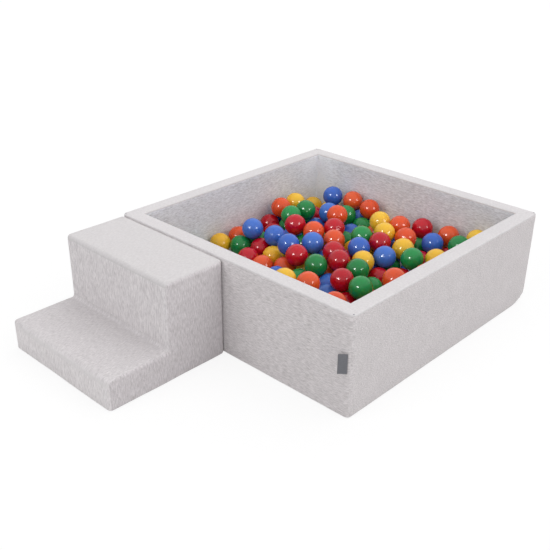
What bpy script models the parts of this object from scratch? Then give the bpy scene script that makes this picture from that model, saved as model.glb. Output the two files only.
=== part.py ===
"""Ball pit with a two-tread foam step.

A square pit of foam blocks in a sewn jersey cover, with a heap of hollow balls in it, and a loose step of
foam in the same cover that stands against the pit's front. Metres, +Z up. The origin is the middle of the
pit's underside, on the ground. The pit's front looks to -Y, and the step stands flush with its left corner.
"""

import math

import bmesh
import bpy
from mathutils import Matrix, Vector

# Cloth, and the gap that pieces lying against each other keep
cloth = 0.0025
fit_gap = 0.0003
cut_overrun = 0.004

# The pit: outside size, walls, height of its padded floor, and the rounding of its edges
pit_side = 0.90
pit_height = 0.30
wall_thickness = 0.05
floor_height = 0.088
corner_round = 0.010
bottom_round = 0.012
rim_round = 0.005

# The step: an L seen from the side, with its rounding and the drop of the seams below the rounded edges
step_width = 0.45
step_depth = 0.40
step_below_rim = 0.005
upper_tread_depth = 0.20
lower_tread_height = 0.095
step_round = 0.012
step_gap = 0.0008
seam_drop = 0.012
riser_seam_drop = 0.002

# The label, caught in the seam at the pit's front right corner, and how far it swings out in degrees
label_width = 0.0245
label_height = 0.057
label_thickness = 0.0012
label_bottom = 0.134
label_to_corner = 0.010
label_swing = 40.0

# The zips, one in the pit's back and one in the step's left side
pit_zip_length = 0.60
step_zip_length = 0.30
zip_width = 0.012
zip_rise = 0.034
tape_thickness = 0.0008
coil_width = 0.004
coil_thickness = 0.0011
slider_length = 0.012
slider_width = 0.008
slider_thickness = 0.002
bridge_length = 0.0092
bridge_width = 0.0024
bridge_leg = 0.0016
bridge_thickness = 0.001
bridge_opening = 0.0018
pull_length = 0.024
pull_width = 0.007
pull_thickness = 0.0009
pull_clearance = 0.0004

# The balls
ball_diameter = 0.07
ball_neck = 0.0002
loose_ball_count = 12
ball_group_columns = 4
ball_group_rows = 3

arc_steps = 4
merge_distance = 0.000001


def clear_scene():
    for thing in list(bpy.data.objects):
        bpy.data.objects.remove(thing)


def make_material(name, red, green, blue, roughness):
    material = bpy.data.materials.new(name)
    material.use_nodes = True
    shader = material.node_tree.nodes["Principled BSDF"]
    shader.inputs["Base Color"].default_value = (red, green, blue, 1.0)
    shader.inputs["Roughness"].default_value = roughness
    shader.inputs["Metallic"].default_value = 0.0
    return material


def add_object(name, bm, material, matrix=None):
    """A new object of the bmesh, its faces turned out, at the place that the matrix gives."""
    bmesh.ops.remove_doubles(bm, verts=bm.verts, dist=merge_distance)
    bmesh.ops.dissolve_degenerate(bm, edges=bm.edges, dist=merge_distance)
    bmesh.ops.recalc_face_normals(bm, faces=bm.faces)
    mesh = bpy.data.meshes.new(name)
    bm.to_mesh(mesh)
    bm.free()
    mesh.materials.append(material)
    thing = bpy.data.objects.new(name, mesh)
    bpy.context.scene.collection.objects.link(thing)
    if matrix is not None:
        thing.matrix_world = matrix
    return thing


def hide_helper(helper):
    helper.hide_render = True
    helper.display_type = "WIRE"


def combine(thing, helper, operation):
    """Joins the helper to the object, or cuts it away, with a live Boolean."""
    hide_helper(helper)
    boolean = thing.modifiers.new(helper.name, "BOOLEAN")
    boolean.operation = operation
    boolean.solver = "EXACT"
    boolean.object = helper


def box_mesh(low, high):
    bm = bmesh.new()
    bmesh.ops.create_cube(bm, size=1.0)
    for vert in bm.verts:
        for axis in range(3):
            vert.co[axis] = high[axis] if vert.co[axis] > 0 else low[axis]
    return bm


def bridge_rows(bm, first, second):
    """Quads between two closed rows of vertices."""
    count = len(first)
    for index in range(count):
        following = (index + 1) % count
        bm.faces.new((first[index], first[following], second[following], second[index]))


def arc(centre, radius, start, end):
    """Points of an arc round the centre, its start and end in degrees, from the first axis to the second."""
    points = []
    for step in range(arc_steps + 1):
        angle = math.radians(start + (end - start) * step / arc_steps)
        points.append((centre[0] + radius * math.cos(angle), centre[1] + radius * math.sin(angle)))
    return points


# The pit's walls. A profile's points are (depth in from the pit's outer face, height), and a strip carries
# it along one side of the pit, round half of each corner, to a mitre that keeps the fit gap.
pit_half = pit_side / 2
strip_angles = (45.0, 22.5, 0.0)
pit_sides = (("front", 0), ("right", 90), ("back", 180), ("left", 270))


def strip_point(depth, height, angle, end):
    """One point of a strip: end is -1 or 1, and angle turns from the side's face into its corner."""
    turned = math.radians(angle)
    radius = max(corner_round - depth, 0.0)
    centre = pit_half - depth - radius
    mitre = centre + radius * math.sin(math.radians(strip_angles[0])) - fit_gap
    along = min(centre + radius * math.sin(turned), mitre)
    return Vector((end * along, -(centre + radius * math.cos(turned)), height))


def add_strip(name, profile, turn, material):
    bm = bmesh.new()
    stations = [(-1, angle) for angle in strip_angles]
    stations += [(1, angle) for angle in reversed(strip_angles)]
    rows = []
    for end, angle in stations:
        rows.append([bm.verts.new(strip_point(depth, height, angle, end)) for depth, height in profile])
    for first, second in zip(rows, rows[1:]):
        bridge_rows(bm, first, second)
    bm.faces.new(rows[0])
    bm.faces.new(rows[-1])
    bmesh.ops.rotate(bm, cent=(0, 0, 0), matrix=Matrix.Rotation(math.radians(turn), 3, "Z"), verts=bm.verts)
    return add_object(name, bm, material)


def outer_cover_profile():
    """Down the outer face and round under the bottom edge."""
    top = pit_height - rim_round - fit_gap
    centre = (bottom_round, bottom_round)
    outside = arc(centre, bottom_round, 180, 270)
    inside = arc(centre, bottom_round - cloth, 270, 180)
    return [(0.0, top)] + outside + inside + [(cloth, top)]


def rim_profile():
    """Over the top of the wall, from one seam to the other."""
    outer_centre = (rim_round, pit_height - rim_round)
    inner_centre = (wall_thickness - rim_round, pit_height - rim_round)
    lining = rim_round - cloth
    outside = arc(outer_centre, rim_round, 180, 90) + arc(inner_centre, rim_round, 90, 0)
    inside = arc(inner_centre, lining, 0, 90) + arc(outer_centre, lining, 90, 180)
    return outside + inside


def inner_cover_profile():
    top = pit_height - rim_round - fit_gap
    bottom = floor_height + fit_gap
    face = wall_thickness
    back = wall_thickness - cloth
    return [(back, top), (back, bottom), (face, bottom), (face, top)]


def foam_wall_profile():
    """The foam block inside a wall, its edges cut off so that the cover's rounding clears them."""
    skin = cloth + fit_gap
    far = wall_thickness - skin
    bottom = skin
    top = pit_height - skin
    return [
        (skin, pit_height - rim_round), (skin, bottom_round), (bottom_round, bottom), (far, bottom),
        (far, pit_height - rim_round), (wall_thickness - rim_round, top), (rim_round, top),
    ]


def add_pit():
    for side, turn in pit_sides:
        add_strip("foam_wall_" + side, foam_wall_profile(), turn, foam_white)
        add_strip("outer_cover_" + side, outer_cover_profile(), turn, jersey_grey)
        add_strip("rim_strip_" + side, rim_profile(), turn, jersey_pale)
        add_strip("inner_cover_" + side, inner_cover_profile(), turn, jersey_grey)
    reach_out = pit_half - wall_thickness + cloth
    foam_top = floor_height - cloth - fit_gap
    foam = box_mesh((-reach_out, -reach_out, cloth + fit_gap), (reach_out, reach_out, foam_top))
    add_object("foam_floor", foam, foam_white)
    top = box_mesh((-reach_out, -reach_out, floor_height - cloth), (reach_out, reach_out, floor_height))
    add_object("floor_cloth", top, jersey_grey)
    under = pit_half - bottom_round - fit_gap
    add_object("underside_cloth", box_mesh((-under, -under, 0.0), (under, under, cloth)), base_cloth)


def add_label():
    """A flat loop of woven tape, its origin on the seam that holds it."""
    half = label_thickness / 2
    bm = box_mesh((-label_width, -half, 0.0), (0.0, half, label_height))
    upright = [e for e in bm.edges if abs(e.verts[0].co.z - e.verts[1].co.z) > half]
    folded = [e for e in upright if e.verts[0].co.x < -half]
    bmesh.ops.bevel(bm, geom=folded, offset=half - fit_gap / 2, segments=2, affect="EDGES")
    place = Vector((pit_half - label_to_corner, -pit_half - fit_gap - half, label_bottom))
    swing = Matrix.Rotation(math.radians(label_swing), 4, "Z")
    add_object("label", bm, woven_grey, Matrix.Translation(place) @ swing)


# The step, which reaches up nearly to the rim. Its outline is followed in (distance from the back, height),
# and every surface of the cover lies at some depth inside that outline: nought on its faces, more where the
# sides round off.
step_x = -pit_half + step_width / 2
step_back = -pit_half - step_gap
step_height = pit_height - step_below_rim
# Angles round the sides' rounding: a panel that runs across ends at the seam, where the side panel starts
seam_angle = 45.0
panel_angle = 22.5
side_angles = (45.0, 67.5, 90.0)
# Each corner: arc centre, start and end angle, and 1 for an outside corner or -1 for the inside one
step_corners = (
    ((step_round, step_round), 270, 180, 1),
    ((step_round, step_height - step_round), 180, 90, 1),
    ((upper_tread_depth - step_round, step_height - step_round), 90, 0, 1),
    ((upper_tread_depth + step_round, lower_tread_height + step_round), 180, 270, -1),
    ((step_depth - step_round, lower_tread_height - step_round), 90, 0, 1),
    ((step_depth - step_round, step_round), 0, -90, 1),
)


def corner_points(corner, depth):
    centre, start, end, outward = step_corners[corner]
    return arc(centre, max(step_round - outward * depth, 0.0), start, end)


def seam_point(away, height, inward, depth):
    """A point on a straight stretch of the outline, moved in by the depth."""
    return (away + inward[0] * depth, height + inward[1] * depth)


def step_bands():
    """Name, first seam, corners passed and last seam of each panel that runs across the step."""
    back_seam = step_height - step_round - seam_drop
    riser_seam = step_height - step_round - riser_seam_drop
    front_seam = lower_tread_height - step_round - seam_drop
    foot = upper_tread_depth + step_round
    toe = step_depth - step_round
    return (
        ("step_back_cover", (step_round, 0.0, (0, 1)), (0,), (0.0, back_seam - fit_gap, (1, 0))),
        ("step_upper_tread", (0.0, back_seam, (1, 0)), (1, 2), (upper_tread_depth, riser_seam, (-1, 0))),
        ("step_upper_riser", (upper_tread_depth, riser_seam - fit_gap, (-1, 0)), (3,),
         (foot, lower_tread_height, (0, -1))),
        ("step_lower_tread", (foot + fit_gap, lower_tread_height, (0, -1)), (4,),
         (step_depth, front_seam, (-1, 0))),
        ("step_lower_riser", (step_depth, front_seam - fit_gap, (-1, 0)), (5,), (toe, 0.0, (0, 1))),
        ("step_base", (toe - fit_gap, 0.0, (0, 1)), (), (step_round + fit_gap, 0.0, (0, 1))),
    )


def step_rounding(angle, lining):
    """Depth and half width of the cover's face, or of its lining, at an angle of the side's rounding."""
    radius = step_round - lining
    turned = math.radians(angle)
    depth = lining + radius * (1 - math.cos(turned))
    return depth, step_width / 2 - step_round + radius * math.sin(turned)


def step_place(across, away, height):
    return Vector((step_x + across, step_back - away, height))


def band_row(band, angle, side, lining):
    name, first, corners, last = band
    depth, half_width = step_rounding(angle, lining)
    points = [seam_point(*first, depth)]
    for corner in corners:
        points += corner_points(corner, depth)
    points.append(seam_point(*last, depth))
    return [step_place(side * half_width, away, height) for away, height in points]


def add_band(band):
    """A panel of the step's cover: its face, its lining and the four edges between them."""
    bm = bmesh.new()
    edge_angle = seam_angle - math.degrees(fit_gap / step_round)
    angles = (edge_angle, panel_angle, 0.0)
    stations = [(-1, angle) for angle in angles] + [(1, angle) for angle in reversed(angles)]
    rows = []
    for side, angle in stations:
        face = band_row(band, angle, side, 0.0)
        lining = band_row(band, angle, side, cloth)
        rows.append([bm.verts.new(point) for point in face + lining[::-1]])
    for first, second in zip(rows, rows[1:]):
        bridge_rows(bm, first, second)
    for row in (rows[0], rows[-1]):
        half = len(row) // 2
        for index in range(half - 1):
            bm.faces.new((row[index], row[index + 1], row[-2 - index], row[-1 - index]))
    return add_object(band[0], bm, jersey_grey)


def add_step_side(name, side):
    """An L-shaped side panel, with the outer half of the rounding round it."""
    bm = bmesh.new()
    rows = []
    for lining, angles in ((0.0, side_angles), (cloth, side_angles[::-1])):
        for angle in angles:
            depth, half_width = step_rounding(angle, lining)
            points = [point for corner in range(len(step_corners)) for point in corner_points(corner, depth)]
            rows.append([bm.verts.new(step_place(side * half_width, *point)) for point in points])
    for index in (0, 1, 3, 4):
        bridge_rows(bm, rows[index], rows[index + 1])
    bridge_rows(bm, rows[5], rows[0])
    bm.faces.new(rows[2])
    bm.faces.new(rows[3])
    return add_object(name, bm, jersey_grey)


def add_foam_block(name, away_low, away_high, top):
    skin = cloth + fit_gap
    across = step_width / 2 - skin
    low = step_place(-across, away_high, skin)
    high = step_place(across, away_low, top - skin)
    block = add_object(name, box_mesh(low, high), foam_white)
    bevel = block.modifiers.new("cut edges", "BEVEL")
    bevel.width = step_round - cloth
    bevel.segments = 1
    bevel.limit_method = "NONE"


def add_step():
    skin = cloth + fit_gap
    for band in step_bands():
        add_band(band)
    add_step_side("step_left_side", -1)
    add_step_side("step_right_side", 1)
    add_foam_block("step_foam_upper", skin, upper_tread_depth - skin, step_height)
    add_foam_block("step_foam_lower", upper_tread_depth - cloth, step_depth - skin, lower_tread_height)


# The zips. Each is made in its own frame: along the zip, up, and out of the cover it closes.
coil_top = tape_thickness + coil_thickness - cloth
slider_low = coil_top + fit_gap
slider_top = slider_low + slider_thickness
pull_axis = slider_top + bridge_opening / 2


def zip_frame(centre, outward):
    """Frame whose third axis looks outward and whose second axis is up."""
    up = Vector((0.0, 0.0, 1.0))
    along = up.cross(outward)
    turn = Matrix((along, up, outward)).transposed()
    return Matrix.Translation(centre) @ turn.to_4x4()


def prism(points, low, high):
    """A solid with the outline of the points, from low to high on the third axis."""
    bm = bmesh.new()
    bottom = [bm.verts.new((x, y, low)) for x, y in points]
    top = [bm.verts.new((x, y, high)) for x, y in points]
    bridge_rows(bm, bottom, top)
    bm.faces.new(bottom[::-1])
    bm.faces.new(top)
    return bm


def add_tape(name, length, frame):
    """The woven tape with its coil, cut square at both ends."""
    half = length / 2 - fit_gap
    edge = zip_width / 2 - fit_gap
    rib = coil_width / 2
    face = tape_thickness - cloth
    section = [
        (-edge, -cloth), (edge, -cloth), (edge, face), (rib, face), (rib / 2, coil_top),
        (-rib / 2, coil_top), (-rib, face), (-edge, face),
    ]
    bm = bmesh.new()
    first = [bm.verts.new((-half, up, out)) for up, out in section]
    second = [bm.verts.new((half, up, out)) for up, out in section]
    bridge_rows(bm, first, second)
    bm.faces.new(first[::-1])
    bm.faces.new(second)
    add_object(name, bm, zip_grey, frame)


def add_slider(name, frame):
    """The slider: a body that narrows to its tail, and the bridge that carries the pull."""
    nose_share = 0.3
    tail_share = 0.65
    half_length = slider_length / 2
    half_width = slider_width / 2
    outline = []
    for x, y in ((-1, tail_share), (nose_share, 1), (1, nose_share)):
        outline.append((x * half_length, y * half_width))
    outline += [(x, -y) for x, y in reversed(outline)]
    slider = add_object(name, prism(outline, slider_low, slider_top), zip_metal, frame)
    half = bridge_length / 2
    inner = half - bridge_leg
    sunk = slider_top - slider_thickness / 2
    roof = slider_top + bridge_opening
    crown = roof + bridge_thickness
    arch = [(-half, sunk), (-half, crown), (half, crown), (half, sunk),
            (inner, sunk), (inner, roof), (-inner, roof), (-inner, sunk)]
    bm = bmesh.new()
    rows = []
    for side in (-bridge_width / 2, bridge_width / 2):
        rows.append([bm.verts.new((x, side, z)) for x, z in arch])
    bridge_rows(bm, rows[0], rows[1])
    bm.faces.new(rows[0][::-1])
    bm.faces.new(rows[1])
    combine(slider, add_object(name + "_bridge", bm, zip_metal, frame), "UNION")


def add_pull(name, frame):
    """The pull tab, its origin on its bar, with a window that the bridge passes through."""
    half = pull_thickness / 2
    side = pull_width / 2
    corner = side / 2
    points = [(half, side), (half, -side), (corner - pull_length, -side), (-pull_length, -corner),
              (-pull_length, corner), (corner - pull_length, side)]
    pull = add_object(name, prism(points, -half, half), zip_metal, frame)
    reach_in = math.hypot(bridge_length / 2, bridge_opening / 2 + bridge_thickness) + pull_clearance
    window = bridge_width / 2 + pull_clearance
    low = (-reach_in, -window, -half - cut_overrun)
    high = (-half, window, half + cut_overrun)
    combine(pull, add_object(name + "_window", box_mesh(low, high), zip_metal, frame), "DIFFERENCE")


def add_zip(name, cover_name, length, centre, outward):
    """A zip along the cover: the slit it closes, its tape, its slider at the closed end and its pull."""
    frame = zip_frame(centre, outward)
    half = length / 2
    low = (-half, -zip_width / 2, -cloth - cut_overrun)
    high = (half, zip_width / 2, cut_overrun)
    slit = add_object(name + "_slit", box_mesh(low, high), zip_metal, frame)
    combine(bpy.data.objects[cover_name], slit, "DIFFERENCE")
    add_tape(name + "_tape", length, frame)
    closed = frame @ Matrix.Translation((half - slider_length / 2 - fit_gap, 0.0, 0.0))
    add_slider(name + "_slider", closed)
    add_pull(name + "_pull", closed @ Matrix.Translation((0.0, 0.0, pull_axis)))


# The balls. Tables give the colour of each ball that shows and its place as shares of the pit's inside,
# from the left wall and from the front wall: first those that lie on the floor, then those on top of them.
low_ball_shares = (
    ("yellow", 0.05, 0.34), ("orange", 0.05, 0.44), ("green", 0.12, 0.38), ("red", 0.23, 0.32),
    ("red", 0.05, 0.63), ("red", 0.13, 0.57), ("red", 0.20, 0.42), ("yellow", 0.05, 0.92),
    ("yellow", 0.13, 0.94), ("blue", 0.22, 0.74), ("yellow", 0.29, 0.40), ("orange", 0.32, 0.31),
    ("orange", 0.39, 0.36), ("blue", 0.43, 0.28), ("green", 0.50, 0.32), ("blue", 0.61, 0.37),
    ("blue", 0.66, 0.30), ("green", 0.36, 0.88), ("blue", 0.37, 0.80), ("green", 0.74, 0.46),
    ("red", 0.72, 0.55), ("red", 0.77, 0.59), ("red", 0.74, 0.78), ("red", 0.80, 0.88),
)
high_ball_shares = (
    ("blue", 0.14, 0.43), ("orange", 0.06, 0.68), ("green", 0.16, 0.64), ("yellow", 0.09, 0.77),
    ("green", 0.17, 0.74), ("red", 0.24, 0.58), ("blue", 0.26, 0.46), ("blue", 0.15, 0.93),
    ("blue", 0.25, 0.79), ("orange", 0.31, 0.76), ("red", 0.38, 0.65), ("orange", 0.34, 0.57),
    ("blue", 0.37, 0.42), ("blue", 0.44, 0.49), ("orange", 0.48, 0.57), ("red", 0.45, 0.38),
    ("yellow", 0.58, 0.18), ("green", 0.55, 0.35), ("orange", 0.65, 0.21), ("red", 0.70, 0.34),
    ("orange", 0.80, 0.18), ("red", 0.55, 0.49), ("red", 0.61, 0.44), ("orange", 0.24, 0.96),
    ("green", 0.28, 0.87), ("orange", 0.35, 0.95), ("yellow", 0.48, 0.86), ("orange", 0.56, 0.88),
    ("red", 0.63, 0.92), ("yellow", 0.56, 0.75), ("orange", 0.64, 0.79), ("green", 0.51, 0.67),
    ("red", 0.61, 0.69), ("blue", 0.60, 0.58), ("blue", 0.68, 0.60), ("yellow", 0.70, 0.67),
    ("green", 0.77, 0.64), ("yellow", 0.67, 0.53), ("green", 0.69, 0.44), ("green", 0.79, 0.31),
    ("orange", 0.84, 0.45), ("blue", 0.75, 0.83), ("orange", 0.74, 0.95), ("green", 0.84, 0.89),
    ("yellow", 0.86, 0.96), ("yellow", 0.85, 0.71),
)
colours = ("red", "green", "yellow", "blue", "orange")
# Strips along the front and right walls, and how high the heap is topped up in them
front_strip_share = 0.13
right_strip_share = 0.89
top_up_share = 0.88
# Shares of a ball's diameter: how far a ball may roll to settle, the steps it rolls by, and the grid that
# balls are dropped on to top the strips up
settle_share = 0.17
top_settle_share = 0.29
roll_step_shares = (0.06, 0.03, 0.015, 0.007, 0.0035, 0.0015)
drop_grid_share = 0.14
touching_share = 0.01
overlap_share = 0.97
cover_share = 0.62
loose_apart_share = 1.5
fill_tilt_share = 0.55
# How often the table's balls are pushed apart at most, and the directions in which a ball tries to roll
spread_rounds = 400
roll_directions = 16
# The fill's colours run through the list in this step
colour_step = 7
# A ball has no point of its own within this many degrees of one towards a neighbour
plain_clear_angle = 28.0
fine_clear_angle = 17.0

inside = pit_side - 2 * wall_thickness
ball_radius = ball_diameter / 2
spacing = ball_diameter + fit_gap
reach = inside / 2 - ball_radius - fit_gap
lowest = floor_height + ball_radius + fit_gap
tiny = 1e-6 * ball_diameter


def clamp(value):
    return max(-reach, min(reach, value))


def level(length):
    """The length in tiny steps, so that a choice between equal lengths doesn't hang on rounding."""
    return round(length / tiny)


def spread(shares, least):
    """Places of the table's balls, pushed apart until each pair keeps the least distance in plan."""
    spots = [(clamp((x - 0.5) * inside), clamp((y - 0.5) * inside)) for colour, x, y in shares]
    moved = True
    rounds = 0
    while moved and rounds < spread_rounds:
        moved = False
        rounds += 1
        for i in range(len(spots)):
            for j in range(i):
                dx = spots[i][0] - spots[j][0]
                dy = spots[i][1] - spots[j][1]
                apart = math.hypot(dx, dy)
                if apart < least:
                    push = (least - apart + tiny) / 2 / apart
                    spots[i] = (clamp(spots[i][0] + dx * push), clamp(spots[i][1] + dy * push))
                    spots[j] = (clamp(spots[j][0] - dx * push), clamp(spots[j][1] - dy * push))
                    moved = True
    return spots


def spots_touching(first, second):
    """The two places in plan that touch both balls."""
    dx = second[0] - first[0]
    dy = second[1] - first[1]
    apart = math.hypot(dx, dy)
    if apart >= 2 * spacing or apart == 0:
        return []
    rise = math.sqrt(spacing ** 2 - apart ** 2 / 4)
    middle = ((first[0] + second[0]) / 2, (first[1] + second[1]) / 2)
    aside = (-dy / apart * rise, dx / apart * rise)
    return [(middle[0] + aside[0], middle[1] + aside[1]), (middle[0] - aside[0], middle[1] - aside[1])]


def spots_by_walls(spot):
    """The places in plan that touch the ball and one of the walls."""
    found = []
    for wall in (-reach, reach):
        away = wall - spot[0]
        if abs(away) < spacing:
            rise = math.sqrt(spacing ** 2 - away ** 2)
            found += [(wall, spot[1] + rise), (wall, spot[1] - rise)]
        away = wall - spot[1]
        if abs(away) < spacing:
            rise = math.sqrt(spacing ** 2 - away ** 2)
            found += [(spot[0] + rise, wall), (spot[0] - rise, wall)]
    return found


def is_free(spot, spots):
    if max(abs(spot[0]), abs(spot[1])) > reach + tiny:
        return False
    return all(math.dist(spot, other) > spacing - tiny for other in spots)


def fill_floor(spots):
    """Lays balls on the floor, each against two others or a wall, until no place is left."""
    choices = [(-reach, -reach), (reach, -reach), (-reach, reach), (reach, reach)]
    for index, spot in enumerate(spots):
        choices += spots_by_walls(spot)
        for other in spots[:index]:
            choices += spots_touching(spot, other)
    choices = [choice for choice in choices if is_free(choice, spots)]
    while choices:
        new = min(choices, key=lambda spot: spot[0] + spot[1] * fill_tilt_share)
        choices = [choice for choice in choices if math.dist(choice, new) > spacing - tiny]
        more = spots_by_walls(new)
        for other in spots:
            more += spots_touching(new, other)
        spots.append(new)
        choices += [choice for choice in more if is_free(choice, spots)]
    return spots


def rest_height(x, y, balls):
    """The height at which a ball let down at this place meets the floor or another ball."""
    height = lowest
    for ball in balls:
        rise = spacing ** 2 - (x - ball[0]) ** 2 - (y - ball[1]) ** 2
        if rise > 0:
            height = max(height, ball[2] + math.sqrt(rise))
    return height


def settle(x, y, balls, most):
    """Rolls a ball downhill from its place, no further than most, and gives where it comes to rest."""
    start = (x, y)
    near = [ball for ball in balls if math.dist(ball[:2], start) < 2 * spacing + most]
    height = level(rest_height(x, y, near))
    for share in roll_step_shares:
        rolling = True
        while rolling:
            best = (height, -1, x, y)
            for turn in range(roll_directions):
                angle = turn * 2 * math.pi / roll_directions
                new_x = clamp(x + share * ball_diameter * math.cos(angle))
                new_y = clamp(y + share * ball_diameter * math.sin(angle))
                if level(math.dist((new_x, new_y), start)) <= level(most):
                    best = min(best, (level(rest_height(new_x, new_y, near)), turn, new_x, new_y))
            rolling = best[0] < height
            if rolling:
                height, turn, x, y = best
    return (x, y, rest_height(x, y, near))


def top_up(balls):
    """Drops balls into the lowest spots along the front and right walls, and gives how many."""
    grid = drop_grid_share * ball_diameter
    count = int(2 * reach / grid)
    places = [-reach + index * grid for index in range(count + 1)]
    front_line = (front_strip_share - 0.5) * inside
    right_line = (right_strip_share - 0.5) * inside
    spots = [(x, y) for x in places for y in places if y < front_line or x > right_line]
    added = 0
    while True:
        height, index = min((level(rest_height(*spot, balls)), index) for index, spot in enumerate(spots))
        if height > level(lowest + top_up_share * spacing):
            return added
        x, y = spots[index]
        balls.append(settle(x, y, balls, top_settle_share * ball_diameter))
        added += 1


def fill_colour(index):
    return colours[(index * colour_step + index // len(colours)) % len(colours)]


def lay_balls():
    """Every ball as (x, y, z, colour, is it one of the plainer ones that others hide)."""
    floor_spots = spread(low_ball_shares, spacing)
    shown = len(floor_spots)
    floor_spots = fill_floor(floor_spots)
    balls = [(x, y, lowest) for x, y in floor_spots]
    names = [row[0] for row in low_ball_shares]
    names += [fill_colour(index) for index in range(len(balls) - shown)]
    for (x, y), row in zip(spread(high_ball_shares, overlap_share * spacing), high_ball_shares):
        balls.append(settle(x, y, balls, settle_share * ball_diameter))
        names.append(row[0])
    names += [fill_colour(index) for index in range(top_up(balls))]
    upper = [ball for ball in balls if ball[2] > lowest]
    laid = []
    for index, (ball, name) in enumerate(zip(balls, names)):
        covered = any(math.dist(ball[:2], other[:2]) < cover_share * ball_diameter for other in upper)
        laid.append((*ball, name, shown <= index < len(floor_spots) and covered))
    return laid


def choose_loose(balls):
    """The balls that can be lifted straight out: the highest, spread out, with nothing over them."""
    order = sorted(range(len(balls)), key=lambda index: -level(balls[index][2]))
    chosen = []
    for index in order:
        x, y, z = balls[index][:3]
        above = [b for b in balls if b[2] > z and math.dist(b[:2], (x, y)) < spacing]
        near = [c for c in chosen if math.dist(balls[c][:2], (x, y)) < loose_apart_share * spacing]
        if not above and not near and not balls[index][4]:
            chosen.append(index)
        if len(chosen) == loose_ball_count:
            break
    return chosen


def group_balls(balls, members):
    """Groups of touching balls, each grown from the ball nearest to the middle of its field of the pit.

    A group is a list of (ball, the ball it is joined to, how many joints it is from the group's first ball).
    """
    middles = []
    for column in range(ball_group_columns):
        for row in range(ball_group_rows):
            column_share = (column + 0.5) / ball_group_columns
            row_share = (row + 0.5) / ball_group_rows
            middles.append(((column_share - 0.5) * inside, (row_share - 0.5) * inside, lowest))
    left = set(members)
    groups = []
    for middle in middles:
        seed = min(left, key=lambda index: (level(math.dist(balls[index][:3], middle)), index))
        groups.append([(seed, None, 0)])
        left.remove(seed)
    offers = []

    def offer(number, ball, depth):
        for other in left:
            apart = math.dist(balls[ball][:3], balls[other][:3])
            if apart < 2 * spacing:
                far = apart > spacing + touching_share * ball_diameter
                from_middle = math.dist(balls[other][:3], middles[number])
                offers.append((level(apart) if far else 0, level(from_middle), other, ball, depth, number))

    for number, group in enumerate(groups):
        offer(number, group[0][0], 0)
    while left:
        offers = [choice for choice in offers if choice[2] in left]
        other, ball, depth, number = min(offers)[2:]
        groups[number].append((other, ball, depth + 1))
        left.remove(other)
        offer(number, other, depth + 1)
    return groups


def ball_directions(plain):
    """Unit directions of a ball's points: 12 for a plain ball and 42 for a finer one."""
    bm = bmesh.new()
    bmesh.ops.create_icosphere(bm, subdivisions=1 if plain else 2, radius=1.0)
    directions = [vert.co.normalized() for vert in bm.verts]
    bm.free()
    return directions


def add_ball(bm, centre, plain, touches):
    """A ball with a point towards each neighbour it touches, given as (direction, distance)."""
    clear_angle = math.radians(plain_clear_angle if plain else fine_clear_angle)
    points = [touch[0] * touch[1] for touch in touches]
    for direction in ball_directions(plain):
        if all(direction.angle(touch[0]) > clear_angle for touch in touches):
            points.append(direction * ball_radius)
    verts = [bm.verts.new(Vector(centre) + point) for point in points]
    hull = bmesh.ops.convex_hull(bm, input=verts)
    for face in hull["geom"]:
        if isinstance(face, bmesh.types.BMFace):
            face.smooth = True


def direction_to(balls, ball, other):
    return (Vector(balls[other][:3]) - Vector(balls[ball][:3])).normalized()


def add_balls():
    balls = lay_balls()
    loose = choose_loose(balls)
    members = [index for index in range(len(balls)) if index not in loose]
    touches = {index: [] for index in range(len(balls))}
    for ball in loose:
        for other in members:
            if math.dist(balls[ball][:3], balls[other][:3]) < spacing + touching_share * ball_diameter:
                touches[ball].append((direction_to(balls, ball, other), ball_radius))
                touches[other].append((direction_to(balls, other, ball), ball_radius))
    groups = group_balls(balls, members)
    for group in groups:
        for ball, parent, depth in group[1:]:
            half_way = math.dist(balls[ball][:3], balls[parent][:3]) / 2 + ball_neck
            touches[ball].append((direction_to(balls, ball, parent), half_way))
            touches[parent].append((direction_to(balls, parent, ball), half_way))
    for number, ball in enumerate(loose, 1):
        bm = bmesh.new()
        add_ball(bm, (0.0, 0.0, 0.0), balls[ball][4], touches[ball])
        name = "loose_ball_" + str(number).zfill(2)
        add_object(name, bm, ball_plastic[balls[ball][3]], Matrix.Translation(balls[ball][:3]))
    for number, group in enumerate(groups, 1):
        name = "ball_group_" + str(number).zfill(2)
        meshes = (bmesh.new(), bmesh.new())
        for ball, parent, depth in group:
            add_ball(meshes[depth % 2], balls[ball][:3], balls[ball][4], touches[ball])
        things = [
            add_object(name + suffix, bm, ball_plastic[colours[number % len(colours)]])
            for bm, suffix in zip(meshes, ("", "_others"))
        ]
        combine(things[0], things[1], "UNION")


clear_scene()
jersey_grey = make_material("jersey_grey", 0.55, 0.53, 0.54, 0.95)
jersey_pale = make_material("jersey_pale", 0.74, 0.71, 0.73, 0.95)
base_cloth = make_material("base_cloth", 0.50, 0.49, 0.49, 0.9)
foam_white = make_material("foam_white", 0.85, 0.84, 0.80, 1.0)
woven_grey = make_material("woven_grey", 0.16, 0.16, 0.17, 0.8)
zip_grey = make_material("zip_grey", 0.60, 0.59, 0.60, 0.7)
zip_metal = make_material("zip_metal", 0.55, 0.55, 0.56, 0.35)
ball_plastic = {
    "red": make_material("ball_red", 0.50, 0.010, 0.026, 0.22),
    "green": make_material("ball_green", 0.022, 0.26, 0.062, 0.22),
    "yellow": make_material("ball_yellow", 0.79, 0.50, 0.035, 0.22),
    "blue": make_material("ball_blue", 0.045, 0.13, 0.52, 0.22),
    "orange": make_material("ball_orange", 0.79, 0.12, 0.026, 0.22),
}
add_pit()
add_label()
add_step()
add_zip("pit_zip", "outer_cover_back", pit_zip_length, Vector((0.0, pit_half, zip_rise)),
        Vector((0.0, 1.0, 0.0)))
step_middle = step_place(-step_width / 2, step_depth / 2, zip_rise)
add_zip("step_zip", "step_left_side", step_zip_length, step_middle, Vector((-1.0, 0.0, 0.0)))
add_balls()
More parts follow.
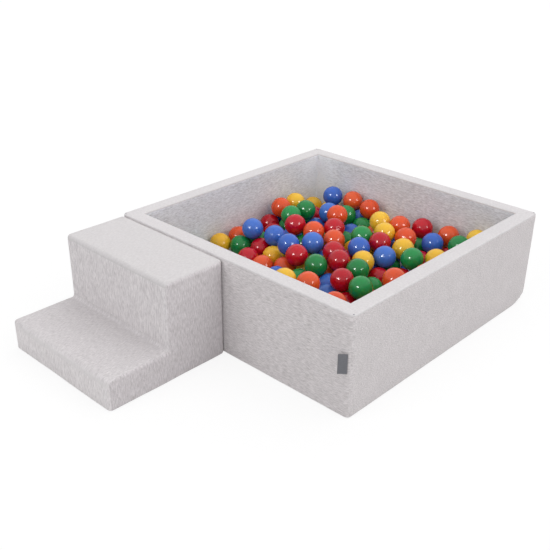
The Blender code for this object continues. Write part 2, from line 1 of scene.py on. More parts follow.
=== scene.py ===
"""Looks of a ball pit with a two-tread foam step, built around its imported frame."""

import math

import bmesh
import bpy
from mathutils import Matrix, Quaternion, Vector, noise


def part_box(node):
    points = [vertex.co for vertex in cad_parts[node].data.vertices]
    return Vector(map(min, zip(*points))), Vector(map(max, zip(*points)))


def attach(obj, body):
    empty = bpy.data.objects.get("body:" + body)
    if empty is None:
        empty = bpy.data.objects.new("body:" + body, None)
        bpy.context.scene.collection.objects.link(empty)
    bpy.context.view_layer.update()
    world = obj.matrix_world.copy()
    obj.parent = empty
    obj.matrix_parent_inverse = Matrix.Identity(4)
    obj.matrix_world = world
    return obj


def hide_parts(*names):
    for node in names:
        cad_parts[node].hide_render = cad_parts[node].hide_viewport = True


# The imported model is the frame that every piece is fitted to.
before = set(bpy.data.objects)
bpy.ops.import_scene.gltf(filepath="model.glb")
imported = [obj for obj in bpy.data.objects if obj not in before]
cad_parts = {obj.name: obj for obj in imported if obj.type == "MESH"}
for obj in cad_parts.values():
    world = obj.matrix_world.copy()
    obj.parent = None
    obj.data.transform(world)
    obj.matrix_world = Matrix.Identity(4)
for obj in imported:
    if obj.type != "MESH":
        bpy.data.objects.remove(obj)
bpy.ops.object.select_all(action="DESELECT")
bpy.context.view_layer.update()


# The camera stands off the pit's front right corner, 27 degrees up, as the photograph's did. Its lens and
# slight roll are those that the pit's edges in the photograph give.
def direction_to(azimuth, elevation):
    """The direction that lies so many degrees round from the front and so many up."""
    azimuth = math.radians(azimuth)
    elevation = math.radians(elevation)
    flat = math.cos(elevation)
    return Vector((math.sin(azimuth) * flat, -math.cos(azimuth) * flat, math.sin(elevation)))


view_distance = 2.467
view_target = Vector((-0.0564, -0.1872, 0.135))
view_roll = math.radians(0.525)
backward = direction_to(43.49, 26.87)
bpy.ops.object.camera_add(location=view_target + backward * view_distance)
camera = bpy.context.active_object
camera.name = "camera"
camera.data.lens = 53.14
camera.data.sensor_width = 36.0
camera.rotation_mode = "QUATERNION"
camera.rotation_quaternion = backward.to_track_quat("Z", "Y") @ Quaternion((0.0, 0.0, 1.0), view_roll)
bpy.context.scene.camera = camera
bpy.context.scene.view_settings.view_transform = "Standard"


# The studio: a white floor under a ceiling that is brightest behind the pit, with wide soft lights in front,
# on the right, between them and behind. Three more lamps light nothing, and are what the balls mirror. The
# floor throws back less light than its white would, so that upright surfaces stay darker than level ones.
def linear(hex_colour):
    """The linear colour of an sRGB hex value."""
    parts = [int(hex_colour[start:start + 2], 16) / 255 for start in (1, 3, 5)]
    return [part / 12.92 if part <= 0.04045 else ((part + 0.055) / 1.055) ** 2.4 for part in parts] + [1.0]


def add_node(tree, kind, settings=None, inputs=None, tones=()):
    """Adds a node with its settings. An input takes a value, or the (node, output) that feeds it.

    Tones are the sRGB hex values at the ends of a ramp.
    """
    node = tree.nodes.new(kind)
    for name, value in (settings or {}).items():
        setattr(node, name, value)
    for name, value in (inputs or {}).items():
        if isinstance(value, tuple) and isinstance(value[0], bpy.types.Node):
            tree.links.new(value[0].outputs[value[1]], node.inputs[name])
        else:
            node.inputs[name].default_value = value
    for index, tone in enumerate(tones):
        node.color_ramp.elements[index].color = linear(tone)
    return node


def add_seen(tree):
    """The share of a ray that shows the white background: one for the camera's, mirrored and clear rays."""
    path = add_node(tree, "ShaderNodeLightPath")
    seen = add_node(tree, "ShaderNodeMath", {"operation": "MAXIMUM"}, {
        0: (path, "Is Camera Ray"), 1: (path, "Is Transmission Ray"),
    })
    return add_node(tree, "ShaderNodeMath", {"operation": "MAXIMUM"}, {
        0: (seen, 0), 1: (path, "Is Glossy Ray"),
    })


def new_material(name):
    """A material with an empty tree, as (material, tree)."""
    material = bpy.data.materials.new(name)
    material.use_nodes = True
    material.node_tree.nodes.clear()
    return material, material.node_tree


room_light_low = 0.24
room_light_high = 1.03
brightest = (0.0, 0.40, 0.917)
# Name, azimuth, elevation and width in degrees, strength, and whether it is the kind that balls mirror
lamps = (
    ("soft_light_front", -15.0, 32.0, 50.0, 0.88, False),
    ("soft_light_right", 106.0, 28.0, 50.0, 0.66, False),
    ("soft_light_between", 45.0, 25.0, 45.0, 0.48, False),
    ("soft_light_behind", 180.0, 52.0, 55.0, 0.55, False),
    ("mirrored_lamp_left", 2.0, 30.0, 13.0, 1.5, True),
    ("mirrored_lamp_right", 93.0, 25.0, 17.0, 1.0, True),
    ("mirrored_lamp_between", 61.0, 9.0, 8.0, 0.22, True),
)
world = bpy.data.worlds.new("studio")
bpy.context.scene.world = world
world.use_nodes = True
tree = world.node_tree
tree.nodes.clear()
looking = add_node(tree, "ShaderNodeTexCoord")
upward = add_node(tree, "ShaderNodeVectorMath", {"operation": "DOT_PRODUCT"}, {
    0: (looking, "Generated"), 1: brightest,
})
ceiling = add_node(tree, "ShaderNodeMapRange", None, {
    "Value": (upward, "Value"), "To Min": room_light_low, "To Max": room_light_high,
})
white = linear("#ffffff")
room = add_node(tree, "ShaderNodeBackground", None, {"Color": white, "Strength": (ceiling, 0)})
backdrop = add_node(tree, "ShaderNodeBackground", None, {"Color": white, "Strength": 1.0})
seen_world = add_node(tree, "ShaderNodeMixShader", None, {
    0: (add_seen(tree), 0), 1: (room, 0), 2: (backdrop, 0),
})
add_node(tree, "ShaderNodeOutputWorld", None, {"Surface": (seen_world, 0)})
for name, azimuth, elevation, width, strength, mirrored in lamps:
    direction = direction_to(azimuth, elevation)
    bpy.ops.object.light_add(type="SUN", location=view_target + direction * view_distance)
    lamp = bpy.context.active_object
    lamp.name = name
    lamp.data.angle = math.radians(width)
    lamp.data.energy = strength
    lamp.visible_diffuse = not mirrored
    lamp.visible_glossy = mirrored
    lamp.rotation_euler = direction.to_track_quat("Z", "Y").to_euler()

floor_size = 60.0
floor_level = -0.0004
bpy.ops.mesh.primitive_plane_add(size=floor_size, location=(0.0, 0.0, floor_level))
floor = bpy.context.active_object
floor.name = "studio_floor"
bpy.ops.object.transform_apply()
paper, tree = new_material("matt_white_paper")
paper_in_light = add_node(tree, "ShaderNodeBsdfDiffuse", None, {"Color": linear("#f6f6f6")})
paper_glow = add_node(tree, "ShaderNodeEmission", None, {"Color": white, "Strength": 1.0})
paper_seen = add_node(tree, "ShaderNodeMixShader", None, {
    0: 0.85, 1: (paper_in_light, 0), 2: (paper_glow, 0),
})
paper_thrown_back = add_node(tree, "ShaderNodeBsdfDiffuse", None, {"Color": linear("#cecece")})
paper_mix = add_node(tree, "ShaderNodeMixShader", None, {
    0: (add_seen(tree), 0), 1: (paper_thrown_back, 0), 2: (paper_seen, 0),
})
add_node(tree, "ShaderNodeOutputMaterial", None, {"Surface": (paper_mix, 0)})
floor.data.materials.append(paper)


# The foam: blocks of white open-cell polyurethane, cut with a hot wire and glued. Four walls stand round
# the floor block, their ends mitred at the corners. Their cut edges are a little crushed by the cover.
def select_only(piece):
    bpy.ops.object.select_all(action="DESELECT")
    bpy.context.view_layer.objects.active = piece
    piece.select_set(True)


def close_edit():
    bpy.ops.object.mode_set(mode="OBJECT")


def pick(kind, test):
    """In edit mode, selects only the vertices, edges or faces for which the test holds."""
    bpy.ops.mesh.select_all(action="DESELECT")
    bpy.ops.mesh.select_mode(type=kind)
    mesh = bpy.context.active_object.data
    edited = bmesh.from_edit_mesh(mesh)
    edited.normal_update()
    for item in {"VERT": edited.verts, "EDGE": edited.edges, "FACE": edited.faces}[kind]:
        item.select_set(test(item))
    edited.select_flush_mode()
    bmesh.update_edit_mesh(mesh)


def bevel(width, segments, test=lambda edge: True):
    """In edit mode, rounds the edges for which the test holds."""
    pick("EDGE", test)
    bpy.ops.mesh.bevel(offset=width, segments=segments)


def resize(*shares):
    """Resizes what is selected about the origin."""
    bpy.ops.transform.resize(value=shares, center_override=(0.0, 0.0, 0.0))


def extent(edge, axis):
    """How far an edge reaches along the axis."""
    return abs(edge.verts[0].co[axis] - edge.verts[1].co[axis])


def start_block(name, low, high):
    """A cube stretched between two corners, open in edit mode."""
    middle = [(a + b) / 2 for a, b in zip(low, high)]
    size = [b - a for a, b in zip(low, high)]
    bpy.ops.object.select_all(action="DESELECT")
    bpy.ops.mesh.primitive_cube_add(size=1.0, location=middle, scale=size)
    piece = bpy.context.active_object
    piece.name = name
    bpy.ops.object.transform_apply()
    bpy.ops.object.mode_set(mode="EDIT")
    return piece


def slice_at(axis, places):
    """In edit mode, cuts through the whole mesh at each place along the axis."""
    for place in places:
        point = [0.0, 0.0, 0.0]
        normal = [0.0, 0.0, 0.0]
        point[axis] = place
        normal[axis] = 1.0
        bpy.ops.mesh.select_all(action="SELECT")
        bpy.ops.mesh.bisect(plane_co=point, plane_no=normal, threshold=tiny_length / 2)


def even_places(low, high, spacing):
    """Places between low and high, about the spacing apart."""
    count = max(1, round((high - low) / spacing))
    return [low + (high - low) * index / count for index in range(1, count)]


def soften(piece, depth, size, seed):
    """Presses the surface in unevenly, by up to the depth, in hollows of about the size."""
    piece.data.update()
    normals = [Vector(vertex.normal) for vertex in piece.data.vertices]
    for vertex, normal in zip(piece.data.vertices, normals):
        wave = noise.noise(vertex.co / size + Vector((seed, seed * 1.7, seed * 2.3)))
        vertex.co -= normal * depth * (0.5 + 0.5 * wave)


def smooth(piece, angle):
    select_only(piece)
    bpy.ops.object.shade_smooth_by_angle(angle=math.radians(angle))


def fit(piece, material, body, slot, *nodes, fill=None):
    """Gives a finished piece its material and the body that carries it, and hides the nodes it stands for.

    Fill, how much of its space a padded piece fills, is not used.
    """
    piece.data.materials.clear()
    piece.data.materials.append(material)
    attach(piece, body)
    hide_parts(*nodes)


def wear(piece, deep):
    """Wears the pit's two lower back corners round, over an ellipse that shrinks towards the middle.

    Deep is how far under the cover's outer face the piece lies.
    """
    for vertex in piece.data.vertices:
        aside = min(1.0, max(0.0, (pit_half - abs(vertex.co.x)) / worn_reach))
        size = (1 - aside) ** 2 * (1 + 2 * aside)
        along = vertex.co.y + deep - pit_half + worn_length * size
        up = worn_height * size - vertex.co.z + deep
        if along > 0 and up > 0:
            away = math.hypot(along / (worn_length * size), up / (worn_height * size))
            pull = max(0.0, 1 - 1 / away)
            vertex.co.y -= along * pull
            vertex.co.z += up * pull


def turned_copy(piece, name, turn):
    """A copy with its own mesh, turned about the middle of the pit."""
    select_only(piece)
    bpy.ops.object.duplicate()
    copy = bpy.context.active_object
    copy.name = name
    copy.data.transform(Matrix.Rotation(math.radians(turn), 4, "Z"))
    return copy


pit_side = 0.90
pit_height = 0.30
wall_thickness = 0.05
floor_height = 0.088
cloth = 0.0025
gap = 0.0003
pit_half = pit_side / 2
inner_half = pit_half - wall_thickness
skin = cloth + gap
pit_turns = {"front": 0, "right": 90, "back": 180, "left": 270}
worn_length = 0.11
worn_height = 0.055
worn_reach = 0.15
# Lengths under this are taken as none
tiny_length = 0.0001

# Polyurethane foam scatters light evenly and has no shine. Its cells are half a millimetre wide, and are
# drawn at one and a half so that they show.
cell_size = 0.0015
foam, tree = new_material("open_cell_polyurethane_foam")
place = add_node(tree, "ShaderNodeTexCoord")
cells = add_node(tree, "ShaderNodeTexVoronoi", {"feature": "F1"}, {
    "Vector": (place, "Object"), "Scale": 1 / cell_size,
})
cell_tone = add_node(tree, "ShaderNodeValToRGB", None, {0: (cells, "Distance")}, ("#dcd9cd", "#f5f2e8"))
cell_bump = add_node(tree, "ShaderNodeBump", None, {
    "Height": (cells, "Distance"), "Strength": 0.5, "Distance": 0.0006,
})
foam_shader = add_node(tree, "ShaderNodeBsdfPrincipled", None, {
    "Base Color": (cell_tone, 0), "Roughness": 0.95, "IOR": 1.45, "Specular IOR Level": 0.2,
    "Normal": (cell_bump, 0),
})
add_node(tree, "ShaderNodeOutputMaterial", None, {"Surface": (foam_shader, 0)})

foam_cut = 0.006
foam_dent = 0.0006
foam_angle = 30
worn_cuts = [0.018, 0.030, 0.042, 0.055]
foam_wall = start_block("foam_wall_front_block", (-pit_half + skin, -pit_half + skin, skin),
                        (pit_half - skin, -inner_half - skin, pit_height - skin))
pick("VERT", lambda vertex: vertex.co.y > -pit_half + wall_thickness / 2)
resize((inner_half + skin - gap) / (pit_half - skin), 1.0, 1.0)
bevel(foam_cut, 2, lambda edge: extent(edge, 0) > wall_thickness)
bevel(foam_cut, 2, lambda edge: all(abs(vertex.co.x) > pit_half - foam_cut for vertex in edge.verts))
slice_at(0, even_places(-inner_half, inner_half, 0.02))
slice_at(2, worn_cuts + even_places(worn_height, pit_height - foam_cut - skin, 0.05))
close_edit()
soften(foam_wall, foam_dent, 0.06, 1.0)
smooth(foam_wall, foam_angle)
foam_walls = {"front": foam_wall}
for side in ("right", "back", "left"):
    foam_walls[side] = turned_copy(foam_wall, "foam_wall_" + side + "_block", pit_turns[side])
for side, block in foam_walls.items():
    wear(block, skin)
    fit(block, foam, "pit", "foam_white", "foam_wall_" + side, fill=1.0)

foam_floor = start_block("foam_floor_block", (-inner_half - cloth, -inner_half - cloth, skin),
                         (inner_half + cloth, inner_half + cloth, floor_height - skin))
bevel(foam_cut / 2, 2)
for axis in (0, 1):
    slice_at(axis, even_places(-inner_half, inner_half, 0.08))
close_edit()
soften(foam_floor, foam_dent, 0.08, 2.0)
smooth(foam_floor, foam_angle)
fit(foam_floor, foam, "pit", "foam_white", "foam_floor", fill=1.0)


# The pit's cover: cotton jersey sewn inside out into a skin and drawn over the foam. One skin is modelled as
# a block with a well in it, and cut along its seams: mitres at the corners and a seam along each rim.
def add_paling(tree, share, measure, most, ends):
    """Paints light onto the cloth: paler by most where the measure is at the first end, by none at the
    second.
    """
    lightened = add_node(tree, "ShaderNodeMapRange", None, {
        "Value": measure, "From Min": ends[0], "From Max": ends[1], "To Min": most, "To Max": 0.0,
    })
    return add_node(tree, "ShaderNodeMath", {"operation": "ADD"}, {0: (share, 0), 1: (lightened, 0)})


def jersey(name, dark, pale, flecks, wale, contrast, painted_light_heights=None, painted_light_corner_span=None):
    """Melange jersey. Flecks are the lengths of a fleck along the axes, and wale the way its columns cross.

    Dark and pale fibres are spun into one yarn, so every row of loops shows short flecks of either along
    the yarn. Real flecks are a millimetre high and are drawn at two, so that they show. The columns of loops
    are a millimetre apart and are drawn at 1.6. A nap of loose fibres gives the cloth its sheen.

    Some cloth is painted paler, as painted light: over heights below an edge, between the two given,
    and over distances from the middle, along x and y together, towards the back left corner, which is
    painted paler than the other corners.
    """
    material, tree = new_material(name)
    place = add_node(tree, "ShaderNodeTexCoord")
    stretched = add_node(tree, "ShaderNodeMapping", None, {
        "Vector": (place, "Object"), "Scale": [1 / size for size in flecks],
    })
    fleck = add_node(tree, "ShaderNodeTexNoise", None, {
        "Vector": (stretched, 0), "Scale": 1.0, "Detail": 2.0, "Roughness": 0.6, "Distortion": 0.25,
    })
    fibres = add_node(tree, "ShaderNodeTexNoise", None, {
        "Vector": (place, "Object"), "Scale": 1 / fibre_size, "Detail": 2.0,
    })
    patches = add_node(tree, "ShaderNodeTexNoise", None, {
        "Vector": (place, "Object"), "Scale": 1 / patch_size, "Detail": 2.0,
    })
    with_fibres = add_node(tree, "ShaderNodeMath", {"operation": "MULTIPLY_ADD"}, {
        0: (fibres, 0), 1: 0.25, 2: (fleck, 0),
    })
    with_patches = add_node(tree, "ShaderNodeMath", {"operation": "MULTIPLY_ADD"}, {
        0: (patches, 0), 1: 0.12, 2: (with_fibres, 0),
    })
    middle = 0.685
    spread = 0.20 / contrast
    share = add_node(tree, "ShaderNodeMapRange", None, {
        "Value": (with_patches, 0), "From Min": middle - spread, "From Max": middle + spread,
    })
    # Painted light: paler cloth over a band of heights below an edge
    if painted_light_heights:
        height = add_node(tree, "ShaderNodeSeparateXYZ", None, {"Vector": (place, "Object")})
        share = add_paling(tree, share, (height, "Z"), 0.45, painted_light_heights)
    # Painted light: paler cloth towards the back left corner
    if painted_light_corner_span:
        outward = add_node(tree, "ShaderNodeVectorMath", {"operation": "DOT_PRODUCT"}, {
            0: (place, "Object"), 1: (-1.0, 1.0, 0.0),
        })
        share = add_paling(tree, share, (outward, "Value"), 0.55, painted_light_corner_span)
    tone = add_node(tree, "ShaderNodeValToRGB", None, {0: (share, 0)}, (dark, pale))
    crossing = add_node(tree, "ShaderNodeMapping", None, {"Vector": (place, "Object"), "Scale": wale})
    columns = add_node(tree, "ShaderNodeTexWave", {"bands_direction": "DIAGONAL"}, {
        "Vector": (crossing, 0), "Scale": math.pi / 5 / column_pitch, "Distortion": 0.35, "Detail": 1.0,
    })
    relief = add_node(tree, "ShaderNodeMath", {"operation": "MULTIPLY_ADD"}, {
        0: (fleck, 0), 1: 5.0, 2: (columns, "Fac"),
    })
    bump = add_node(tree, "ShaderNodeBump", None, {
        "Height": (relief, 0), "Strength": 0.45, "Distance": 0.00016,
    })
    shader = add_node(tree, "ShaderNodeBsdfPrincipled", None, {
        "Base Color": (tone, 0), "Roughness": 0.92, "IOR": 1.46, "Specular IOR Level": 0.15,
        "Sheen Weight": 0.08, "Sheen Roughness": 0.5, "Sheen Tint": white, "Normal": (bump, 0),
    })
    add_node(tree, "ShaderNodeOutputMaterial", None, {"Surface": (shader, 0)})
    return material


fibre_size = 0.0022
patch_size = 0.04
column_pitch = 0.0016
level_wale = (1.0, 1.0, 0.0)
outer_jersey = jersey("melange_jersey_across", "#b5b0b1", "#e3dedf", (0.016, 0.016, 0.0023), level_wale, 0.9)
fine_jersey = jersey("melange_jersey_across_fine", "#b5b0b1", "#e3dedf", (0.006, 0.005, 0.0023),
                     level_wale, 0.85)
rim_jersey = jersey("melange_jersey_rim", "#c6c2c4", "#d9d6d7", (0.006, 0.006, 0.005), level_wale, 0.6)
# Painted light: a paler, bluer copy of the pit's grey jersey, against the balls' tint and the shade in the
# pit, with its back left corner painted paler still
inner_jersey = jersey("melange_jersey_inside", "#bec0c5", "#e9ecf1", (0.012, 0.012, 0.0028),
                      level_wale, 1.0, painted_light_corner_span=(2 * inner_half - 0.015, 2 * inner_half - 0.10))

rim_round = 0.005
corner_round = 0.014
bottom_round = 0.006
seam_height = pit_height - rim_round
seam_sink = 0.0007
seam_width = 0.0025
corner_span = 0.014
span_height = 0.06
zip_rise = 0.034
zip_width = 0.012
zip_cuts = [zip_rise - zip_width / 2, zip_rise + zip_width / 2]
pit_zip_half = 0.30
# Where the skin is cut close together: beside its outer and inner corners, under the rim and near the floor
outer_cuts = (corner_round + 0.003, corner_round + 0.010)
inner_cuts = (0.004, 0.008, 0.013, 0.018)
rim_cuts = [seam_height - 0.006, seam_height - 0.002]
low_cuts = [0.011, 0.018, 0.050, 0.060]
# Points nearer than this are merged after the cuts
sliver = 0.0004


def apply_modifiers(piece):
    select_only(piece)
    for modifier in list(piece.modifiers):
        bpy.ops.object.modifier_apply(modifier=modifier.name)


def cut_out(piece, cutter):
    """Cuts the cutter's shape out of the piece."""
    cut = piece.modifiers.new("cut", "BOOLEAN")
    cut.object = cutter
    cut.solver = "EXACT"
    apply_modifiers(piece)
    bpy.data.objects.remove(cutter)


def merge_slivers():
    """In edit mode, takes up the slivers that cuts leave beside one another, in the same order each run."""
    mesh = bpy.context.active_object.data
    edited = bmesh.from_edit_mesh(mesh)
    ordered = sorted(edited.verts, key=lambda vertex: [round(part, 6) for part in vertex.co])
    bmesh.ops.remove_doubles(edited, verts=ordered, dist=sliver)
    bmesh.update_edit_mesh(mesh)


skin_block = start_block("pit_skin", (-pit_half, -pit_half, 0.0), (pit_half, pit_half, pit_height))
bevel(corner_round, 6, lambda edge: extent(edge, 2) > pit_height / 2)
bevel(bottom_round, 4, lambda edge: max(vertex.co.z for vertex in edge.verts) < tiny_length)
close_edit()
well = start_block("pit_well", (-inner_half, -inner_half, floor_height), (inner_half, inner_half, 0.4))
close_edit()
cut_out(skin_block, well)
bpy.ops.object.mode_set(mode="EDIT")
for diagonal in (1.0, -1.0):
    bpy.ops.mesh.select_all(action="SELECT")
    bpy.ops.mesh.bisect(plane_co=(0.0, 0.0, 0.0), plane_no=(1.0, diagonal, 0.0), threshold=tiny_length / 2)
bevel(rim_round, 5, lambda edge: all(vertex.co.z > pit_height - tiny_length for vertex in edge.verts)
      and edge.calc_face_angle(0.0) > 0.8)
pick("FACE", lambda face: face.normal.z < -0.99
     or abs(face.calc_center_median().z - floor_height) < tiny_length)
bpy.ops.mesh.delete(type="FACE")
side_places = even_places(-pit_half + 0.03, pit_half - 0.03, 0.02)
side_places += [sign * (pit_half - away) for sign in (-1, 1) for away in outer_cuts]
side_places += [sign * (inner_half - away) for sign in (-1, 1) for away in inner_cuts]
slice_at(0, side_places + [-pit_zip_half, pit_zip_half])
slice_at(1, side_places)
slice_at(2, even_places(0.05, seam_height - 0.012, 0.02) + rim_cuts + zip_cuts + low_cuts)
merge_slivers()
close_edit()


def crown(piece, axis, place, low, high, height):
    """Swells the part of the surface that lies at the place on the axis, most in the middle of its field."""
    others = [other for other in range(3) if other != axis]
    for vertex in piece.data.vertices:
        if abs(vertex.co[axis] - place) < 0.0008:
            share = 1.0
            for other, start, end in zip(others, low, high):
                across = (vertex.co[other] - (start + end) / 2) / ((end - start) / 2)
                share *= max(0.0, 1.0 - across ** 2)
            vertex.co[axis] += height * share


def sink_seams(piece, planes, depth, width):
    """Draws the surface in along each seam, given as (point, normal, test of the places that it reaches)."""
    piece.data.update()
    normals = [Vector(vertex.normal) for vertex in piece.data.vertices]
    for vertex, normal in zip(piece.data.vertices, normals):
        for point, across, reaches in planes:
            away = (vertex.co - Vector(point)).dot(Vector(across))
            if reaches(vertex.co):
                pucker = 1.0 + 0.35 * noise.noise(vertex.co / 0.011)
                vertex.co -= normal * depth * pucker * math.exp(-((away / width) ** 2))


# The cloth spans the well's upright corners in a hollow, which runs out to nothing at the rim
for vertex in skin_block.data.vertices:
    share = min(1.0, max(0.0, (seam_height - vertex.co.z) / span_height))
    hollow = corner_span * share * share * (3 - 2 * share)
    for axis, other in ((0, 1), (1, 0)):
        along = inner_half - abs(vertex.co[other])
        if abs(abs(vertex.co[axis]) - inner_half) < tiny_length and tiny_length < along < hollow:
            turn = math.radians(45) * (1 - along / hollow)
            vertex.co[axis] = math.copysign(inner_half - hollow * (1 - math.cos(turn)), vertex.co[axis])
            vertex.co[other] = math.copysign(inner_half - hollow * (1 - math.sin(turn)), vertex.co[other])
    if hollow > 0 and all(abs(abs(vertex.co[axis]) - inner_half) < tiny_length for axis in (0, 1)):
        corner = inner_half - hollow * (1 - math.cos(math.radians(45)))
        for axis in (0, 1):
            vertex.co[axis] = math.copysign(corner, vertex.co[axis])
side_field = ((-pit_half, 0.0), (pit_half, pit_height))
crown(skin_block, 0, pit_half, *side_field, 0.0016)
crown(skin_block, 0, -pit_half, *side_field, 0.0016)
crown(skin_block, 1, pit_half, (-pit_half, 0.05), (pit_half, pit_height), 0.0014)
soften(skin_block, 0.0007, 0.075, 3.0)
sink_seams(skin_block, (
    ((0.0, 0.0, seam_height), (0.0, 0.0, 1.0), lambda co: True),
    ((0.0, 0.0, 0.0), (0.7071, 0.7071, 0.0), lambda co: co.z > bottom_round),
    ((0.0, 0.0, 0.0), (0.7071, -0.7071, 0.0), lambda co: co.z > bottom_round),
), seam_sink, seam_width)
wear(skin_block, 0.0)


def open_edit(piece):
    select_only(piece)
    bpy.ops.object.mode_set(mode="EDIT")


def cut_panel(shell, name, test):
    """Separates the faces of the shell whose middle and normal pass the test, as a panel of its own."""
    open_edit(shell)
    pick("FACE", lambda face: test(face.calc_center_median(), face.normal))
    bpy.ops.mesh.separate(type="SELECTED")
    close_edit()
    panel = next(thing for thing in bpy.context.selected_objects if thing != shell)
    panel.name = name
    return panel


def open_slit(panel, axis, middle, half):
    """Leaves out the cloth where a zip lies, which reaches half its length along the axis from the middle."""
    open_edit(panel)
    pick("FACE", lambda face: abs(face.calc_center_median()[axis] - middle) < half
         and abs(face.calc_center_median().z - zip_rise) < zip_width / 2)
    bpy.ops.mesh.delete(type="FACE")
    close_edit()


def thicken(piece, angle):
    """Gives a surface the thickness of its cloth, inwards, and shades it smooth."""
    lining = piece.modifiers.new("cloth", "SOLIDIFY")
    lining.thickness = cloth
    lining.offset = -1.0
    apply_modifiers(piece)
    smooth(piece, angle)


def in_quarter(side, co):
    along = {"front": -co.y, "back": co.y, "left": -co.x, "right": co.x}[side]
    return along > max(abs(co.x), abs(co.y)) - 0.00001


cover_angle = 50
middle_of_wall = pit_half - wall_thickness / 2
for side in pit_turns:
    rim = cut_panel(skin_block, "rim_strip_" + side + "_jersey", lambda co, normal: in_quarter(side, co)
                    and co.z > seam_height - 0.0002)
    inner = cut_panel(skin_block, "inner_cover_" + side + "_jersey", lambda co, normal: in_quarter(side, co)
                      and max(abs(co.x), abs(co.y)) < middle_of_wall and co.z > floor_height - cloth)
    if side == "left":
        outer = skin_block
        outer.name = "outer_cover_left_jersey"
    else:
        outer = cut_panel(skin_block, "outer_cover_" + side + "_jersey",
                          lambda co, normal: in_quarter(side, co))
    if side == "back":
        open_slit(outer, 0, 0.0, pit_zip_half)
    for panel, material, slot, node in (
        (rim, rim_jersey, "jersey_pale", "rim_strip_"),
        (inner, inner_jersey, "jersey_grey", "inner_cover_"),
        (outer, fine_jersey if side in ("right", "left") else outer_jersey, "jersey_grey", "outer_cover_"),
    ):
        thicken(panel, cover_angle)
        fit(panel, material, "pit", slot, node + side, fill=0.9)


# The mitre seam of each corner ends in a bar tack: a few dense stitches of dark polyester thread over the
# seam's outer end, which the photograph shows as a dot.
tack_length = 0.004
thread = 0.0008
stitch_pitch = thread * 1.05
from_corner = 0.0085
tack_thread, tree = new_material("dark_polyester_thread")
place = add_node(tree, "ShaderNodeTexCoord")
plies = add_node(tree, "ShaderNodeTexNoise", None, {"Vector": (place, "Object"), "Scale": 1 / 0.0004})
thread_tone = add_node(tree, "ShaderNodeValToRGB", None, {0: (plies, 0)}, ("#6c696d", "#918e94"))
thread_shader = add_node(tree, "ShaderNodeBsdfPrincipled", None, {
    "Base Color": (thread_tone, 0), "Roughness": 0.6, "IOR": 1.57,
})
add_node(tree, "ShaderNodeOutputMaterial", None, {"Surface": (thread_shader, 0)})
tack = start_block("corner_tack_front", (-tack_length / 2, -thread / 2, -thread / 2),
                   (tack_length / 2, thread / 2, thread / 2))
bevel(thread * 0.3, 2)
for stitch in range(3):
    pick("VERT", lambda vertex: vertex.co.y > (stitch - 0.5) * stitch_pitch - 0.00001)
    bpy.ops.mesh.duplicate_move(TRANSFORM_OT_translate={"value": (0.0, stitch_pitch, 0.0)})
close_edit()
tack_place = Vector((pit_half - from_corner, -pit_half + from_corner, pit_height - 0.0006))
tack.data.transform(Matrix.Translation(tack_place) @ Matrix.Rotation(math.radians(-45), 4, "Z"))
smooth(tack, 40)
tacks = [tack]
for side in ("right", "back", "left"):
    tacks.append(turned_copy(tack, "corner_tack_" + side, pit_turns[side]))
for one in tacks:
    one.data.materials.append(tack_thread)
    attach(one, "pit")


# The cloths that hide in the pit: jersey drawn over the foam floor, under the balls, and a woven polyester
# sheet under the whole pit, hemmed to the outer covers.
def add_sheet_cloth(name, half, top, dip, seed):
    """A square of cloth, its upper face pressed in unevenly, with the thickness of its cloth below."""
    count = round(2 * half / 0.02)
    bpy.ops.object.select_all(action="DESELECT")
    bpy.ops.mesh.primitive_grid_add(x_subdivisions=count, y_subdivisions=count, size=2 * half,
                                    location=(0.0, 0.0, top))
    sheet = bpy.context.active_object
    sheet.name = name
    bpy.ops.object.transform_apply()
    soften(sheet, dip, 0.05, seed)
    wear(sheet, cloth)
    thicken(sheet, 40)
    return sheet


floor_cloth = add_sheet_cloth("floor_cloth_jersey", inner_half + cloth, floor_height, 0.0008, 4.0)
fit(floor_cloth, inner_jersey, "pit", "jersey_grey", "floor_cloth")

# Woven polyester, with threads a millimetre apart that cross over and under one another
thread_pitch = 0.001
base_weave, tree = new_material("woven_polyester_base")
place = add_node(tree, "ShaderNodeTexCoord")
warp, weft = [add_node(tree, "ShaderNodeTexWave", {"bands_direction": direction}, {
    "Vector": (place, "Object"), "Scale": math.pi / 20 / thread_pitch, "Distortion": 0.3,
}) for direction in ("X", "Y")]
crossing = add_node(tree, "ShaderNodeMath", {"operation": "MULTIPLY"}, {0: (warp, "Fac"), 1: (weft, "Fac")})
weave_tone = add_node(tree, "ShaderNodeValToRGB", None, {0: (crossing, 0)}, ("#a9a6a8", "#c6c3c5"))
weave_bump = add_node(tree, "ShaderNodeBump", None, {
    "Height": (crossing, 0), "Strength": 0.5, "Distance": 0.0002,
})
weave_shader = add_node(tree, "ShaderNodeBsdfPrincipled", None, {
    "Base Color": (weave_tone, 0), "Roughness": 0.75, "IOR": 1.57, "Normal": (weave_bump, 0),
})
add_node(tree, "ShaderNodeOutputMaterial", None, {"Surface": (weave_shader, 0)})
underside_half = pit_half - 0.0088
underside = add_sheet_cloth("underside_cloth_woven", underside_half, cloth, 0.0, 5.0)
fit(underside, base_weave, "pit", "base_cloth", "underside_cloth")


